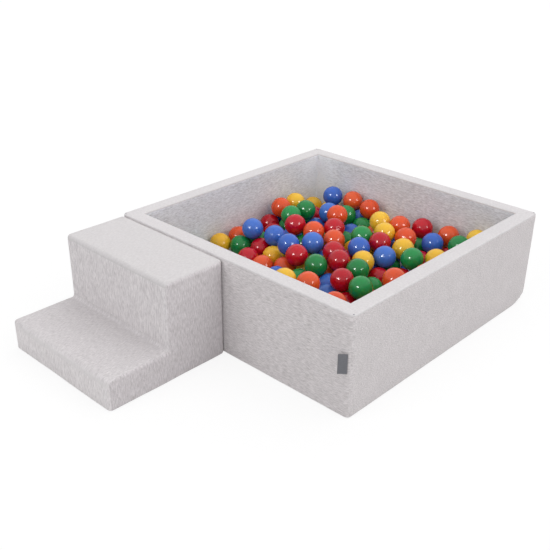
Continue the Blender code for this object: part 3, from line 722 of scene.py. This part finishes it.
# The label: a loop of dark damask tape, folded double, its cut ends caught in the corner seam. Its face is
# left bare. The free fold stands a little off the cover.
label_width = 0.0245
label_height = 0.057
label_thickness = 0.0012
label_swing = math.radians(40.0)
label_sway = 0.0012
label_seam = Vector((pit_half - 0.010, -pit_half - gap - label_thickness / 2, 0.134))
rib_pitch = 0.0009
label_weave, tree = new_material("damask_woven_label")
place = add_node(tree, "ShaderNodeTexCoord")
ribs = add_node(tree, "ShaderNodeTexWave", {"bands_direction": "Z"}, {
    "Vector": (place, "Object"), "Scale": math.pi / 20 / rib_pitch, "Distortion": 0.6, "Detail": 2.0,
})
picks = add_node(tree, "ShaderNodeTexNoise", None, {"Vector": (place, "Object"), "Scale": 1 / 0.0012})
rib_share = add_node(tree, "ShaderNodeMath", {"operation": "MULTIPLY_ADD"}, {
    0: (ribs, "Fac"), 1: 0.45, 2: (picks, 0),
})
label_tone = add_node(tree, "ShaderNodeValToRGB", None, {0: (rib_share, 0)}, ("#4a4b50", "#6d6e74"))
label_tone.color_ramp.elements[0].position = 0.3
label_bump = add_node(tree, "ShaderNodeBump", None, {
    "Height": (rib_share, 0), "Strength": 0.5, "Distance": 0.0002,
})
label_shader = add_node(tree, "ShaderNodeBsdfPrincipled", None, {
    "Base Color": (label_tone, 0), "Roughness": 0.5, "IOR": 1.57, "Normal": (label_bump, 0),
    "Sheen Weight": 0.1,
})
add_node(tree, "ShaderNodeOutputMaterial", None, {"Surface": (label_shader, 0)})
label = start_block("woven_label", (-label_width, -label_thickness / 2, 0.0),
                    (0.0, label_thickness / 2, label_height))
bevel(label_thickness * 0.45, 4, lambda edge: all(vertex.co.x < -label_width / 2 for vertex in edge.verts)
      and extent(edge, 2) > label_height / 2)
bevel(label_thickness * 0.2, 2, lambda edge: extent(edge, 0) > 0.02)
slice_at(0, even_places(-label_width + 0.001, -0.001, 0.0025))
slice_at(2, even_places(0.001, label_height - 0.001, 0.004))
close_edit()
for vertex in label.data.vertices:
    free = -vertex.co.x / label_width
    vertex.co.y += label_sway * free * (1.0 - free) * (1.0 + 0.5 * math.sin(vertex.co.z / 0.012))
label.data.transform(Matrix.Translation(label_seam) @ Matrix.Rotation(label_swing, 4, "Z"))
smooth(label, 50)
fit(label, label_weave, "label", "woven_label", "label", fill=0.2)


# The zips: nylon coil zips that let the covers come off for washing, one low in the pit's back and one low
# in the step's left side. The tape is sewn behind the slit, and its coil's teeth close down the middle.
def move(*way):
    bpy.ops.transform.translate(value=way)


tape_thickness = 0.0008
coil_thickness = 0.0011
coil_width = 0.004
cord_near = 0.0034
cord_far = 0.0042
tooth_pitch = 0.0016
tooth_length = tooth_pitch * 0.62
tape_face = tape_thickness - cloth
coil_top = tape_face + coil_thickness
slider_low = coil_top + gap
slider_top = slider_low + 0.002
slider_length = 0.012
slider_width = 0.008
pull_axis = slider_top + 0.0009
pull_length = 0.024
pull_half = 0.0035
pull_wire = 0.00045
window_length = 0.0060
window_half = 0.0017
bridge_size = (0.0040, 0.0022, 0.0052)
bridge_sink = 0.0002
cord_rise = 0.0003
zip_angle = 35
herringbone_pitch = 0.0009
zip_tape, tree = new_material("polyester_zip_tape")
place = add_node(tree, "ShaderNodeTexCoord")
herringbone = add_node(tree, "ShaderNodeTexWave", {"bands_direction": "DIAGONAL"}, {
    "Vector": (place, "Object"), "Scale": math.pi / 20 / herringbone_pitch, "Distortion": 1.5,
})
tape_tone = add_node(tree, "ShaderNodeValToRGB", None, {0: (herringbone, "Fac")}, ("#bbb8ba", "#d2cfd1"))
tape_bump = add_node(tree, "ShaderNodeBump", None, {
    "Height": (herringbone, "Fac"), "Strength": 0.4, "Distance": 0.0001,
})
tape_shader = add_node(tree, "ShaderNodeBsdfPrincipled", None, {
    "Base Color": (tape_tone, 0), "Roughness": 0.65, "IOR": 1.57, "Normal": (tape_bump, 0),
})
add_node(tree, "ShaderNodeOutputMaterial", None, {"Surface": (tape_shader, 0)})

# Zinc alloy, cast, tumbled and nickel plated, so it is bright with soft highlights and fine tumbling marks
zip_metal, tree = new_material("nickel_plated_zinc")
place = add_node(tree, "ShaderNodeTexCoord")
tumbled = add_node(tree, "ShaderNodeTexNoise", None, {
    "Vector": (place, "Object"), "Scale": 1 / 0.0006, "Detail": 3.0,
})
worn = add_node(tree, "ShaderNodeMapRange", None, {
    "Value": (tumbled, 0), "To Min": 0.24, "To Max": 0.42,
})
metal_bump = add_node(tree, "ShaderNodeBump", None, {
    "Height": (tumbled, 0), "Strength": 0.2, "Distance": 0.00005,
})
metal_shader = add_node(tree, "ShaderNodeBsdfPrincipled", None, {
    "Base Color": linear("#b9b7b3"), "Metallic": 1.0, "Roughness": (worn, 0), "Normal": (metal_bump, 0),
})
add_node(tree, "ShaderNodeOutputMaterial", None, {"Surface": (metal_shader, 0)})

# Name, body, and the axis and side that each zip faces
for name, body, axis, facing in (("pit_zip", "pit", 1, 1.0), ("step_zip", "step", 0, -1.0)):
    low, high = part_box(name + "_tape")
    middle = (low + high) / 2
    middle[axis] = facing * pit_half
    half = (high - low)[1 - axis] / 2
    up = Vector((0.0, 0.0, 1.0))
    outward = Vector((0.0, 0.0, 0.0))
    outward[axis] = facing
    turn = Matrix((up.cross(outward), up, outward)).transposed()
    placed = Matrix.Translation(middle) @ turn.to_4x4()
    half_tape = zip_width / 2 - gap
    tape = start_block(name + "_tape_and_coil", (-half, -half_tape, -cloth), (half, half_tape, tape_face))
    slice_at(1, (-cord_far, -cord_near, cord_near, cord_far))
    pick("FACE", lambda face: face.normal.z > 0.9 and cord_near < abs(face.calc_center_median().y) < cord_far)
    bpy.ops.mesh.extrude_region_move(TRANSFORM_OT_translate={"value": (0.0, 0.0, cord_rise)})
    close_edit()
    first_tooth = -half + 0.0004
    teeth = start_block(name + "_teeth", (first_tooth, -coil_width / 2, tape_face - 0.0002),
                        (first_tooth + tooth_length, coil_width / 2, coil_top))
    slice_at(1, (-coil_width / 4, 0.0, coil_width / 4))
    pick("VERT", lambda vertex: abs(vertex.co.y) > coil_width * 0.4 and vertex.co.z > tape_face)
    move(0.0, 0.0, -coil_thickness * 0.55)
    pick("VERT", lambda vertex: vertex.co.y > tiny_length)
    move(tooth_pitch * 0.3, 0.0, 0.0)
    close_edit()
    row = teeth.modifiers.new("row", "ARRAY")
    row.use_relative_offset = False
    row.use_constant_offset = True
    row.constant_offset_displace = (tooth_pitch, 0.0, 0.0)
    row.count = int((2 * half - 0.0015) / tooth_pitch)
    apply_modifiers(teeth)
    select_only(tape)
    teeth.select_set(True)
    bpy.ops.object.join()
    tape.data.transform(placed)
    smooth(tape, zip_angle)
    fit(tape, zip_tape, body, "zip_tape", name + "_tape")

    slider = start_block(name + "_slider_metal", (-slider_length / 2, -slider_width / 2, slider_low),
                         (slider_length / 2, slider_width / 2, slider_top))
    slice_at(0, (slider_length * 0.15,))
    pick("VERT", lambda vertex: vertex.co.x < -slider_length * 0.4)
    resize(1.0, 0.65, 1.0)
    pick("VERT", lambda vertex: vertex.co.x > slider_length * 0.4)
    resize(1.0, 0.35, 1.0)
    pick("FACE", lambda face: face.normal.z > 0.9)
    bpy.ops.mesh.inset(thickness=0.0012)
    move(0.0, 0.0, -0.0004)
    bevel(0.00025, 2, lambda edge: edge.calc_face_angle(0.0) > 0.6)
    close_edit()
    bpy.ops.object.select_all(action="DESELECT")
    bpy.ops.mesh.primitive_torus_add(major_segments=28, minor_segments=10, major_radius=1.0,
                                     minor_radius=0.16, rotation=(math.radians(90), 0.0, 0.0))
    bridge = bpy.context.active_object
    bridge.scale = bridge_size
    bridge.location = (0.0, 0.0, slider_top - bridge_sink)
    bpy.ops.object.transform_apply()
    slider.select_set(True)
    bpy.context.view_layer.objects.active = slider
    bpy.ops.object.join()

    pull = start_block(name + "_pull_metal", (-pull_length, -pull_half, -pull_wire),
                       (pull_wire, pull_half, pull_wire))
    bevel(0.0026, 5, lambda edge: extent(edge, 2) > pull_wire and edge.verts[0].co.x < -pull_length / 2)
    close_edit()
    window = start_block("window", (-window_length, -window_half, -0.002), (-pull_wire, window_half, 0.002))
    bevel(0.0005, 3, lambda edge: extent(edge, 2) > 0.001)
    close_edit()
    cut_out(pull, window)
    bpy.ops.object.mode_set(mode="EDIT")
    pick("FACE", lambda face: abs(face.normal.z) > 0.9)
    bpy.ops.mesh.inset(thickness=0.00035)
    bevel(0.00012, 2, lambda edge: edge.calc_face_angle(0.0) > 0.8)
    close_edit()
    closed = placed @ Matrix.Translation((half - slider_length / 2, 0.0, 0.0))
    slider.data.transform(closed)
    pull.data.transform(closed @ Matrix.Translation((0.0, 0.0, pull_axis)))
    for part, node in ((slider, name + "_slider"), (pull, name + "_pull")):
        smooth(part, zip_angle)
        fit(part, zip_metal, node, "zip_metal", node)


# The step: two foam blocks glued into an L, in a jersey cover of eight panels. The L is modelled as one block
# with its lower front drawn out, rounded all over, and cut along its seams.
step_width = 0.45
step_depth = 0.40
step_height = 0.295
tread_depth = 0.20
lower_height = 0.095
step_round = 0.012
tight_round = 0.005
seam_drop = 0.012
riser_seam_drop = 0.002
step_seam_sink = 0.0003
step_seam_width = 0.0022
# How far a cut lies beside the seam whose groove it gives its shape, and how far apart the even cuts lie
beside_seam = 0.002
cut_spacing = 0.015
above_zip = 0.055
step_back = -pit_half - 0.0008
step_left = -pit_half
step_right = step_left + step_width
step_middle = step_left + step_width / 2
step_front = step_back - step_depth
riser_face = step_back - tread_depth
side_seam = step_width / 2 - step_round * (1 - math.sin(math.radians(45)))
upper_seam = step_height - step_round - riser_seam_drop
back_seam = step_height - step_round - seam_drop
front_seam = lower_height - step_round - seam_drop
foot_seam = riser_face - step_round
step_zip_half = 0.15
step_zip_middle = step_back - step_depth / 2

down_flecks = (0.0023, 0.016, 0.016)
down_wale = (0.0, 1.0, 1.0)
cross_jersey = jersey("melange_jersey_down_the_step", "#bfbabc", "#e6e2e3", down_flecks, down_wale, 1.0)
# Painted light: the lower riser is a paler copy of the step's jersey, for light the floor throws on it
foot_jersey = jersey("melange_jersey_foot", "#c6c1c2", "#ece8e9", down_flecks, down_wale, 1.0)
side_jersey = jersey("melange_jersey_step_sides", "#b5afb1", "#ddd8da", (0.016, 0.0023, 0.016),
                     (0.0, 0.0, 1.0), 1.0)
tread_jersey = jersey("melange_jersey_tread", "#c0bcbd", "#d6d3d4", (0.0045, 0.009, 0.009), down_wale, 0.5)
# Painted shade: the lower tread is a darker copy of the jersey, for the riser's shade on it, with painted
# light making its front rounding paler
lower_tread_jersey = jersey("melange_jersey_lower_tread", "#b8b3b5", "#dad6d7", (0.0026, 0.012, 0.012),
                            down_wale, 0.8, painted_light_heights=(lower_height - step_round, lower_height - 0.002))

for name, low, high in (
    ("step_foam_upper", (step_left + skin, riser_face + skin, skin),
     (step_right - skin, step_back - skin, step_height - skin)),
    ("step_foam_lower", (step_left + skin, step_front + skin, skin),
     (step_right - skin, riser_face + cloth, lower_height - skin)),
):
    block = start_block(name + "_block", low, high)
    bevel(step_round - cloth, 2)
    for axis in (0, 1):
        slice_at(axis, even_places(low[axis] + 0.02, high[axis] - 0.02, 0.04))
    close_edit()
    soften(block, foam_dent, 0.06, 6.0)
    smooth(block, foam_angle)
    fit(block, foam, "step", "foam_white", name, fill=1.0)

# An edge's bevel weight is the share of the step's rounding that it gets
step_skin = start_block("step_skin", (step_left, riser_face, 0.0), (step_right, step_back, step_height))
slice_at(2, (lower_height,))
pick("FACE", lambda face: face.normal.y < -0.9 and face.calc_center_median().z < lower_height)
bpy.ops.mesh.extrude_region_move(TRANSFORM_OT_translate={"value": (0.0, tread_depth - step_depth, 0.0)})
pick("EDGE", lambda edge: edge.calc_face_angle(0.0) > 1.0)
bpy.ops.transform.edge_bevelweight(value=1.0)
pick("EDGE", lambda edge: all(vertex.co.y > step_back - 0.001 and vertex.co.z > step_height - 0.001
                              for vertex in edge.verts))
bpy.ops.transform.edge_bevelweight(value=tight_round / step_round - 1.0)
pick("EDGE", lambda edge: all(vertex.co.z < 0.001 for vertex in edge.verts))
bpy.ops.transform.edge_bevelweight(value=-1.0)
close_edit()
rounding = step_skin.modifiers.new("rounding", "BEVEL")
rounding.width = step_round
rounding.segments = 6
rounding.limit_method = "WEIGHT"
rounding.use_clamp_overlap = False
apply_modifiers(step_skin)
open_edit(step_skin)
bevel(tight_round, 4, lambda edge: max(vertex.co.z for vertex in edge.verts) < tiny_length
      and edge.calc_face_angle(0.0) > 1.0)
half_width = step_width / 2
across_places = even_places(-half_width + step_round, half_width - step_round, cut_spacing)
across_places += [sign * (side_seam + off) for sign in (-1, 1) for off in (-beside_seam, 0.0)]
slice_at(0, [step_middle + place for place in across_places])
slice_at(1, even_places(step_front + step_round, foot_seam, cut_spacing))
slice_at(1, [foot_seam, step_front + step_round])
slice_at(1, even_places(riser_face + 0.004, step_back - step_round, cut_spacing))
slice_at(1, [step_back - tight_round, step_zip_middle - step_zip_half, step_zip_middle + step_zip_half])
slice_at(2, even_places(lower_height + step_round, upper_seam - 0.004, cut_spacing))
slice_at(2, [upper_seam - beside_seam, upper_seam, back_seam])
slice_at(2, [front_seam - beside_seam, front_seam, front_seam + beside_seam] + zip_cuts + [above_zip])
merge_slivers()
close_edit()

crown(step_skin, 2, step_height, (step_left, riser_face), (step_right, step_back), 0.0022)
crown(step_skin, 2, lower_height, (step_left, step_front), (step_right, riser_face), 0.0020)
crown(step_skin, 1, riser_face, (step_left, lower_height), (step_right, step_height), -0.0022)
crown(step_skin, 1, step_front, (step_left, 0.0), (step_right, lower_height), -0.0016)
crown(step_skin, 0, step_right, (riser_face, 0.0), (step_back, step_height), 0.0020)
soften(step_skin, 0.0014, 0.085, 8.0)
sink_seams(step_skin, (
    ((step_middle - side_seam, 0.0, 0.0), (1.0, 0.0, 0.0), lambda co: True),
    ((step_middle + side_seam, 0.0, 0.0), (1.0, 0.0, 0.0), lambda co: True),
    ((0.0, 0.0, upper_seam), (0.0, 0.0, 1.0), lambda co: abs(co.x - step_middle) < side_seam
     and co.y < riser_face + 0.01),
    ((0.0, 0.0, front_seam), (0.0, 0.0, 1.0), lambda co: abs(co.x - step_middle) < side_seam
     and co.y < foot_seam - 0.05),
), step_seam_sink, step_seam_width)

# Each panel takes its faces from what the panels before it have left, and the base takes the last
for name, material, test in (
    ("step_left_side", side_jersey, lambda co, normal: co.x < step_middle - side_seam),
    ("step_right_side", side_jersey, lambda co, normal: co.x > step_middle + side_seam),
    ("step_upper_tread", tread_jersey,
     lambda co, normal: co.z > (upper_seam if co.y < riser_face + 0.01 else back_seam)),
    ("step_back_cover", cross_jersey, lambda co, normal: co.y > step_back - step_round),
    ("step_upper_riser", cross_jersey,
     lambda co, normal: co.y > foot_seam and co.z > lower_height + step_round),
    ("step_lower_tread", lower_tread_jersey, lambda co, normal: co.z > front_seam),
    ("step_lower_riser", foot_jersey, lambda co, normal: co.y < step_front + step_round),
    ("step_base", cross_jersey, None),
):
    if test:
        panel = cut_panel(step_skin, name + "_jersey", test)
    else:
        panel = step_skin
        panel.name = name + "_jersey"
    if name == "step_left_side":
        open_slit(panel, 1, step_zip_middle, step_zip_half)
    thicken(panel, cover_angle)
    fit(panel, material, "step", "jersey_grey", name, fill=0.9)


# The balls: 70 mm hollow balls, blow-moulded in polyethylene of five colours. The halves of the mould leave a
# fine ridge round each ball, and the blowing pin a small dimple. They are laid as the CAD model lays them:
# the tables give the colour of each ball that shows and its place as shares of the pit's inside.
low_ball_shares = (
    ("yellow", 0.05, 0.34), ("orange", 0.05, 0.44), ("green", 0.12, 0.38), ("red", 0.23, 0.32),
    ("red", 0.05, 0.63), ("red", 0.13, 0.57), ("red", 0.20, 0.42), ("yellow", 0.05, 0.92),
    ("yellow", 0.13, 0.94), ("blue", 0.22, 0.74), ("yellow", 0.29, 0.40), ("orange", 0.32, 0.31),
    ("orange", 0.39, 0.36), ("blue", 0.43, 0.28), ("green", 0.50, 0.32), ("blue", 0.61, 0.37),
    ("blue", 0.66, 0.30), ("green", 0.36, 0.88), ("blue", 0.37, 0.80), ("green", 0.74, 0.46),
    ("red", 0.72, 0.55), ("red", 0.77, 0.59), ("red", 0.74, 0.78), ("red", 0.80, 0.88),
)
high_ball_shares = (
    ("blue", 0.14, 0.43), ("orange", 0.06, 0.68), ("green", 0.16, 0.64), ("yellow", 0.09, 0.77),
    ("green", 0.17, 0.74), ("red", 0.24, 0.58), ("blue", 0.26, 0.46), ("blue", 0.15, 0.93),
    ("blue", 0.25, 0.79), ("orange", 0.31, 0.76), ("red", 0.38, 0.65), ("orange", 0.34, 0.57),
    ("blue", 0.37, 0.42), ("blue", 0.44, 0.49), ("orange", 0.48, 0.57), ("red", 0.45, 0.38),
    ("yellow", 0.58, 0.18), ("green", 0.55, 0.35), ("orange", 0.65, 0.21), ("red", 0.70, 0.34),
    ("orange", 0.80, 0.18), ("red", 0.55, 0.49), ("red", 0.61, 0.44), ("orange", 0.24, 0.96),
    ("green", 0.28, 0.87), ("orange", 0.35, 0.95), ("yellow", 0.48, 0.86), ("orange", 0.56, 0.88),
    ("red", 0.63, 0.92), ("yellow", 0.56, 0.75), ("orange", 0.64, 0.79), ("green", 0.51, 0.67),
    ("red", 0.61, 0.69), ("blue", 0.60, 0.58), ("blue", 0.68, 0.60), ("yellow", 0.70, 0.67),
    ("green", 0.77, 0.64), ("yellow", 0.67, 0.53), ("green", 0.69, 0.44), ("green", 0.79, 0.31),
    ("orange", 0.84, 0.45), ("blue", 0.75, 0.83), ("orange", 0.74, 0.95), ("green", 0.84, 0.89),
    ("yellow", 0.86, 0.96), ("yellow", 0.85, 0.71),
)
colours = ("red", "green", "yellow", "blue", "orange")
# Strips along the front and right walls, and how high the heap is topped up in them
front_strip_share = 0.13
right_strip_share = 0.89
top_up_share = 0.88
# Shares of a ball's diameter: how far a ball may roll to settle, the steps it rolls by, and the grid that
# balls are dropped on to top the strips up
settle_share = 0.17
top_settle_share = 0.29
roll_step_shares = (0.06, 0.03, 0.015, 0.007, 0.0035, 0.0015)
drop_grid_share = 0.14
overlap_share = 0.97
cover_share = 0.62
loose_apart_share = 1.5
loose_ball_count = 12
fill_tilt_share = 0.55
# How often the table's balls are pushed apart at most, and the directions in which a ball tries to roll
spread_rounds = 400
roll_directions = 16
# The fill's colours run through the list in this step
colour_step = 7

inside = pit_side - 2 * wall_thickness
ball_diameter = 0.07
ball_radius = ball_diameter / 2
spacing = ball_diameter + gap
reach = inside / 2 - ball_radius - gap
lowest = floor_height + ball_radius + gap
tiny = 1e-6 * ball_diameter


def clamp(value):
    return max(-reach, min(reach, value))


def level(length):
    """The length in tiny steps, so that a choice between equal lengths doesn't hang on rounding."""
    return round(length / tiny)


def spread(shares, least):
    """Places of the table's balls, pushed apart until each pair keeps the least distance in plan."""
    spots = [(clamp((x - 0.5) * inside), clamp((y - 0.5) * inside)) for colour, x, y in shares]
    moved = True
    rounds = 0
    while moved and rounds < spread_rounds:
        moved = False
        rounds += 1
        for i in range(len(spots)):
            for j in range(i):
                dx = spots[i][0] - spots[j][0]
                dy = spots[i][1] - spots[j][1]
                apart = math.hypot(dx, dy)
                if apart < least:
                    push = (least - apart + tiny) / 2 / apart
                    spots[i] = (clamp(spots[i][0] + dx * push), clamp(spots[i][1] + dy * push))
                    spots[j] = (clamp(spots[j][0] - dx * push), clamp(spots[j][1] - dy * push))
                    moved = True
    return spots


def spots_touching(first, second):
    """The two places in plan that touch both balls."""
    dx = second[0] - first[0]
    dy = second[1] - first[1]
    apart = math.hypot(dx, dy)
    if apart >= 2 * spacing or apart == 0:
        return []
    rise = math.sqrt(spacing ** 2 - apart ** 2 / 4)
    middle = ((first[0] + second[0]) / 2, (first[1] + second[1]) / 2)
    aside = (-dy / apart * rise, dx / apart * rise)
    return [(middle[0] + aside[0], middle[1] + aside[1]), (middle[0] - aside[0], middle[1] - aside[1])]


def spots_by_walls(spot):
    """The places in plan that touch the ball and one of the walls."""
    found = []
    for wall in (-reach, reach):
        away = wall - spot[0]
        if abs(away) < spacing:
            rise = math.sqrt(spacing ** 2 - away ** 2)
            found += [(wall, spot[1] + rise), (wall, spot[1] - rise)]
        away = wall - spot[1]
        if abs(away) < spacing:
            rise = math.sqrt(spacing ** 2 - away ** 2)
            found += [(spot[0] + rise, wall), (spot[0] - rise, wall)]
    return found


def is_free(spot, spots):
    if max(abs(spot[0]), abs(spot[1])) > reach + tiny:
        return False
    return all(math.dist(spot, other) > spacing - tiny for other in spots)


def fill_floor(spots):
    """Lays balls on the floor, each against two others or a wall, until no place is left."""
    choices = [(-reach, -reach), (reach, -reach), (-reach, reach), (reach, reach)]
    for index, spot in enumerate(spots):
        choices += spots_by_walls(spot)
        for other in spots[:index]:
            choices += spots_touching(spot, other)
    choices = [choice for choice in choices if is_free(choice, spots)]
    while choices:
        new = min(choices, key=lambda spot: spot[0] + spot[1] * fill_tilt_share)
        choices = [choice for choice in choices if math.dist(choice, new) > spacing - tiny]
        more = spots_by_walls(new)
        for other in spots:
            more += spots_touching(new, other)
        spots.append(new)
        choices += [choice for choice in more if is_free(choice, spots)]
    return spots


def rest_height(x, y, balls):
    """The height at which a ball let down at this place meets the floor or another ball."""
    height = lowest
    for ball in balls:
        rise = spacing ** 2 - (x - ball[0]) ** 2 - (y - ball[1]) ** 2
        if rise > 0:
            height = max(height, ball[2] + math.sqrt(rise))
    return height


def settle(x, y, balls, most):
    """Rolls a ball downhill from its place, no further than most, and gives where it comes to rest."""
    start = (x, y)
    near = [ball for ball in balls if math.dist(ball[:2], start) < 2 * spacing + most]
    height = level(rest_height(x, y, near))
    for share in roll_step_shares:
        rolling = True
        while rolling:
            best = (height, -1, x, y)
            for turn in range(roll_directions):
                angle = turn * 2 * math.pi / roll_directions
                new_x = clamp(x + share * ball_diameter * math.cos(angle))
                new_y = clamp(y + share * ball_diameter * math.sin(angle))
                if level(math.dist((new_x, new_y), start)) <= level(most):
                    best = min(best, (level(rest_height(new_x, new_y, near)), turn, new_x, new_y))
            rolling = best[0] < height
            if rolling:
                height, turn, x, y = best
    return (x, y, rest_height(x, y, near))


def top_up(balls):
    """Drops balls into the lowest spots along the front and right walls, and gives how many."""
    grid = drop_grid_share * ball_diameter
    count = int(2 * reach / grid)
    places = [-reach + index * grid for index in range(count + 1)]
    front_line = (front_strip_share - 0.5) * inside
    right_line = (right_strip_share - 0.5) * inside
    spots = [(x, y) for x in places for y in places if y < front_line or x > right_line]
    added = 0
    while True:
        height, index = min((level(rest_height(*spot, balls)), index) for index, spot in enumerate(spots))
        if height > level(lowest + top_up_share * spacing):
            return added
        x, y = spots[index]
        balls.append(settle(x, y, balls, top_settle_share * ball_diameter))
        added += 1


def fill_colour(index):
    return colours[(index * colour_step + index // len(colours)) % len(colours)]


def lay_balls():
    """Every ball as (x, y, z, colour, is it one of the plainer ones that others hide)."""
    floor_spots = spread(low_ball_shares, spacing)
    shown = len(floor_spots)
    floor_spots = fill_floor(floor_spots)
    balls = [(x, y, lowest) for x, y in floor_spots]
    names = [row[0] for row in low_ball_shares]
    names += [fill_colour(index) for index in range(len(balls) - shown)]
    for (x, y), row in zip(spread(high_ball_shares, overlap_share * spacing), high_ball_shares):
        balls.append(settle(x, y, balls, settle_share * ball_diameter))
        names.append(row[0])
    names += [fill_colour(index) for index in range(top_up(balls))]
    upper = [ball for ball in balls if ball[2] > lowest]
    laid = []
    for index, (ball, name) in enumerate(zip(balls, names)):
        covered = any(math.dist(ball[:2], other[:2]) < cover_share * ball_diameter for other in upper)
        laid.append((*ball, name, shown <= index < len(floor_spots) and covered))
    return laid


def choose_loose(balls):
    """The balls that can be lifted straight out: the highest, spread out, with nothing over them."""
    order = sorted(range(len(balls)), key=lambda index: -level(balls[index][2]))
    chosen = []
    for index in order:
        x, y, z = balls[index][:3]
        above = [b for b in balls if b[2] > z and math.dist(b[:2], (x, y)) < spacing]
        near = [c for c in chosen if math.dist(balls[c][:2], (x, y)) < loose_apart_share * spacing]
        if not above and not near and not balls[index][4]:
            chosen.append(index)
        if len(chosen) == loose_ball_count:
            break
    return chosen


# Polyethylene straight from a polished mould is glossy, with a faint orange peel and dull scuffs from other
# balls. Balls of one colour come from several batches, so each has its own slight tone.
ball_hexes = {
    "red": ("#aa091e", "#bc1125"),
    "green": ("#177a3c", "#1f8c48"),
    "yellow": ("#e4ae27", "#ecbe38"),
    "blue": ("#3560ba", "#4573c9"),
    "orange": ("#d7481f", "#e1592b"),
}
ball_plastic = {}
for name, (deep, light) in ball_hexes.items():
    ball_plastic[name], tree = new_material("blow_moulded_polyethylene_" + name)
    place = add_node(tree, "ShaderNodeTexCoord")
    batch = add_node(tree, "ShaderNodeAttribute", {"attribute_name": "batch"})
    tone = add_node(tree, "ShaderNodeValToRGB", None, {0: (batch, "Fac")}, (deep, light))
    peel = add_node(tree, "ShaderNodeTexNoise", None, {
        "Vector": (place, "Object"), "Scale": 1 / 0.004, "Detail": 1.0,
    })
    peel_bump = add_node(tree, "ShaderNodeBump", None, {
        "Height": (peel, 0), "Strength": 0.12, "Distance": 0.0003,
    })
    scuffs = add_node(tree, "ShaderNodeTexNoise", None, {
        "Vector": (place, "Object"), "Scale": 1 / 0.012, "Detail": 5.0, "Roughness": 0.7,
    })
    dull = add_node(tree, "ShaderNodeMapRange", None, {
        "Value": (scuffs, 0), "From Min": 0.45, "From Max": 0.80, "To Min": 0.12, "To Max": 0.28,
    })
    shader = add_node(tree, "ShaderNodeBsdfPrincipled", None, {
        "Base Color": (tone, 0), "Roughness": (dull, 0), "IOR": 1.51, "Specular IOR Level": 0.4,
        "Normal": (peel_bump, 0),
    })
    add_node(tree, "ShaderNodeOutputMaterial", None, {"Surface": (shader, 0)})

mould_ridge = 0.0002
ridge_width = 0.0014
dimple_edge = 0.0012
dimple_depth = 0.0007
ball_angle = 60
ball_group_count = 12
# The steps by which one ball after another is turned, and takes the tone of its batch
turn_step = 2.4
tilt_step = 1.1
first_tilt = 0.6
batch_step = 0.618
ridge_share = 1 + mould_ridge / ball_radius
bpy.ops.object.select_all(action="DESELECT")
bpy.ops.mesh.primitive_uv_sphere_add(segments=28, ring_count=14, radius=ball_radius)
fine_ball = bpy.context.active_object
fine_ball.name = "fine_ball"
open_edit(fine_ball)
bevel(ridge_width / 2, 2, lambda edge: all(abs(vertex.co.z) < tiny_length for vertex in edge.verts))
pick("VERT", lambda vertex: abs(vertex.co.z) < tiny_length)
resize(ridge_share, ridge_share, 1.0)
slice_at(2, (-ridge_width, ridge_width))
pick("FACE", lambda face: face.calc_center_median().z > 0.97 * ball_radius)
bpy.ops.mesh.inset(thickness=0.0035)
bpy.ops.mesh.inset(thickness=dimple_edge)
move(0.0, 0.0, -dimple_depth)
close_edit()
smooth(fine_ball, ball_angle)
bpy.ops.object.select_all(action="DESELECT")
bpy.ops.mesh.primitive_ico_sphere_add(subdivisions=3, radius=ball_radius)
plain_ball = bpy.context.active_object
plain_ball.name = "plain_ball"
smooth(plain_ball, ball_angle)


def lay_in_mesh(name, laid_balls):
    """One mesh of copies of the ball, each at its place and turned its own way, with its batch's tone."""
    joined = bmesh.new()
    batch = joined.verts.layers.float.new("batch")
    for index, (x, y, z, colour, plain) in laid_balls:
        first = len(joined.verts)
        joined.from_mesh((plain_ball if plain else fine_ball).data)
        joined.verts.ensure_lookup_table()
        added = joined.verts[first:]
        turn = Matrix.Rotation(index * turn_step, 4, "X")
        tilt = Matrix.Rotation(index * tilt_step + first_tilt, 4, "Y")
        bmesh.ops.transform(joined, matrix=Matrix.Translation((x, y, z)) @ turn @ tilt, verts=added)
        for vertex in added:
            vertex[batch] = index * batch_step % 1.0
    mesh = bpy.data.meshes.new(name)
    joined.to_mesh(mesh)
    joined.free()
    piece = bpy.data.objects.new(name, mesh)
    bpy.context.scene.collection.objects.link(piece)
    smooth(piece, ball_angle)
    return piece


balls = lay_balls()
loose = choose_loose(balls)
for number, index in enumerate(loose, 1):
    node = "loose_ball_" + str(number).zfill(2)
    piece = lay_in_mesh(node + "_moulded", [(index, balls[index])])
    colour = balls[index][3]
    fit(piece, ball_plastic[colour], node, "ball_" + colour, node)
groups = ["ball_group_" + str(number).zfill(2) for number in range(1, ball_group_count + 1)]
for colour in colours:
    members = [(index, ball) for index, ball in enumerate(balls) if ball[3] == colour and index not in loose]
    piece = lay_in_mesh("heap_balls_" + colour, members)
    fit(piece, ball_plastic[colour], "pit", "ball_" + colour, *groups)
bpy.data.objects.remove(fine_ball)
bpy.data.objects.remove(plain_ball)
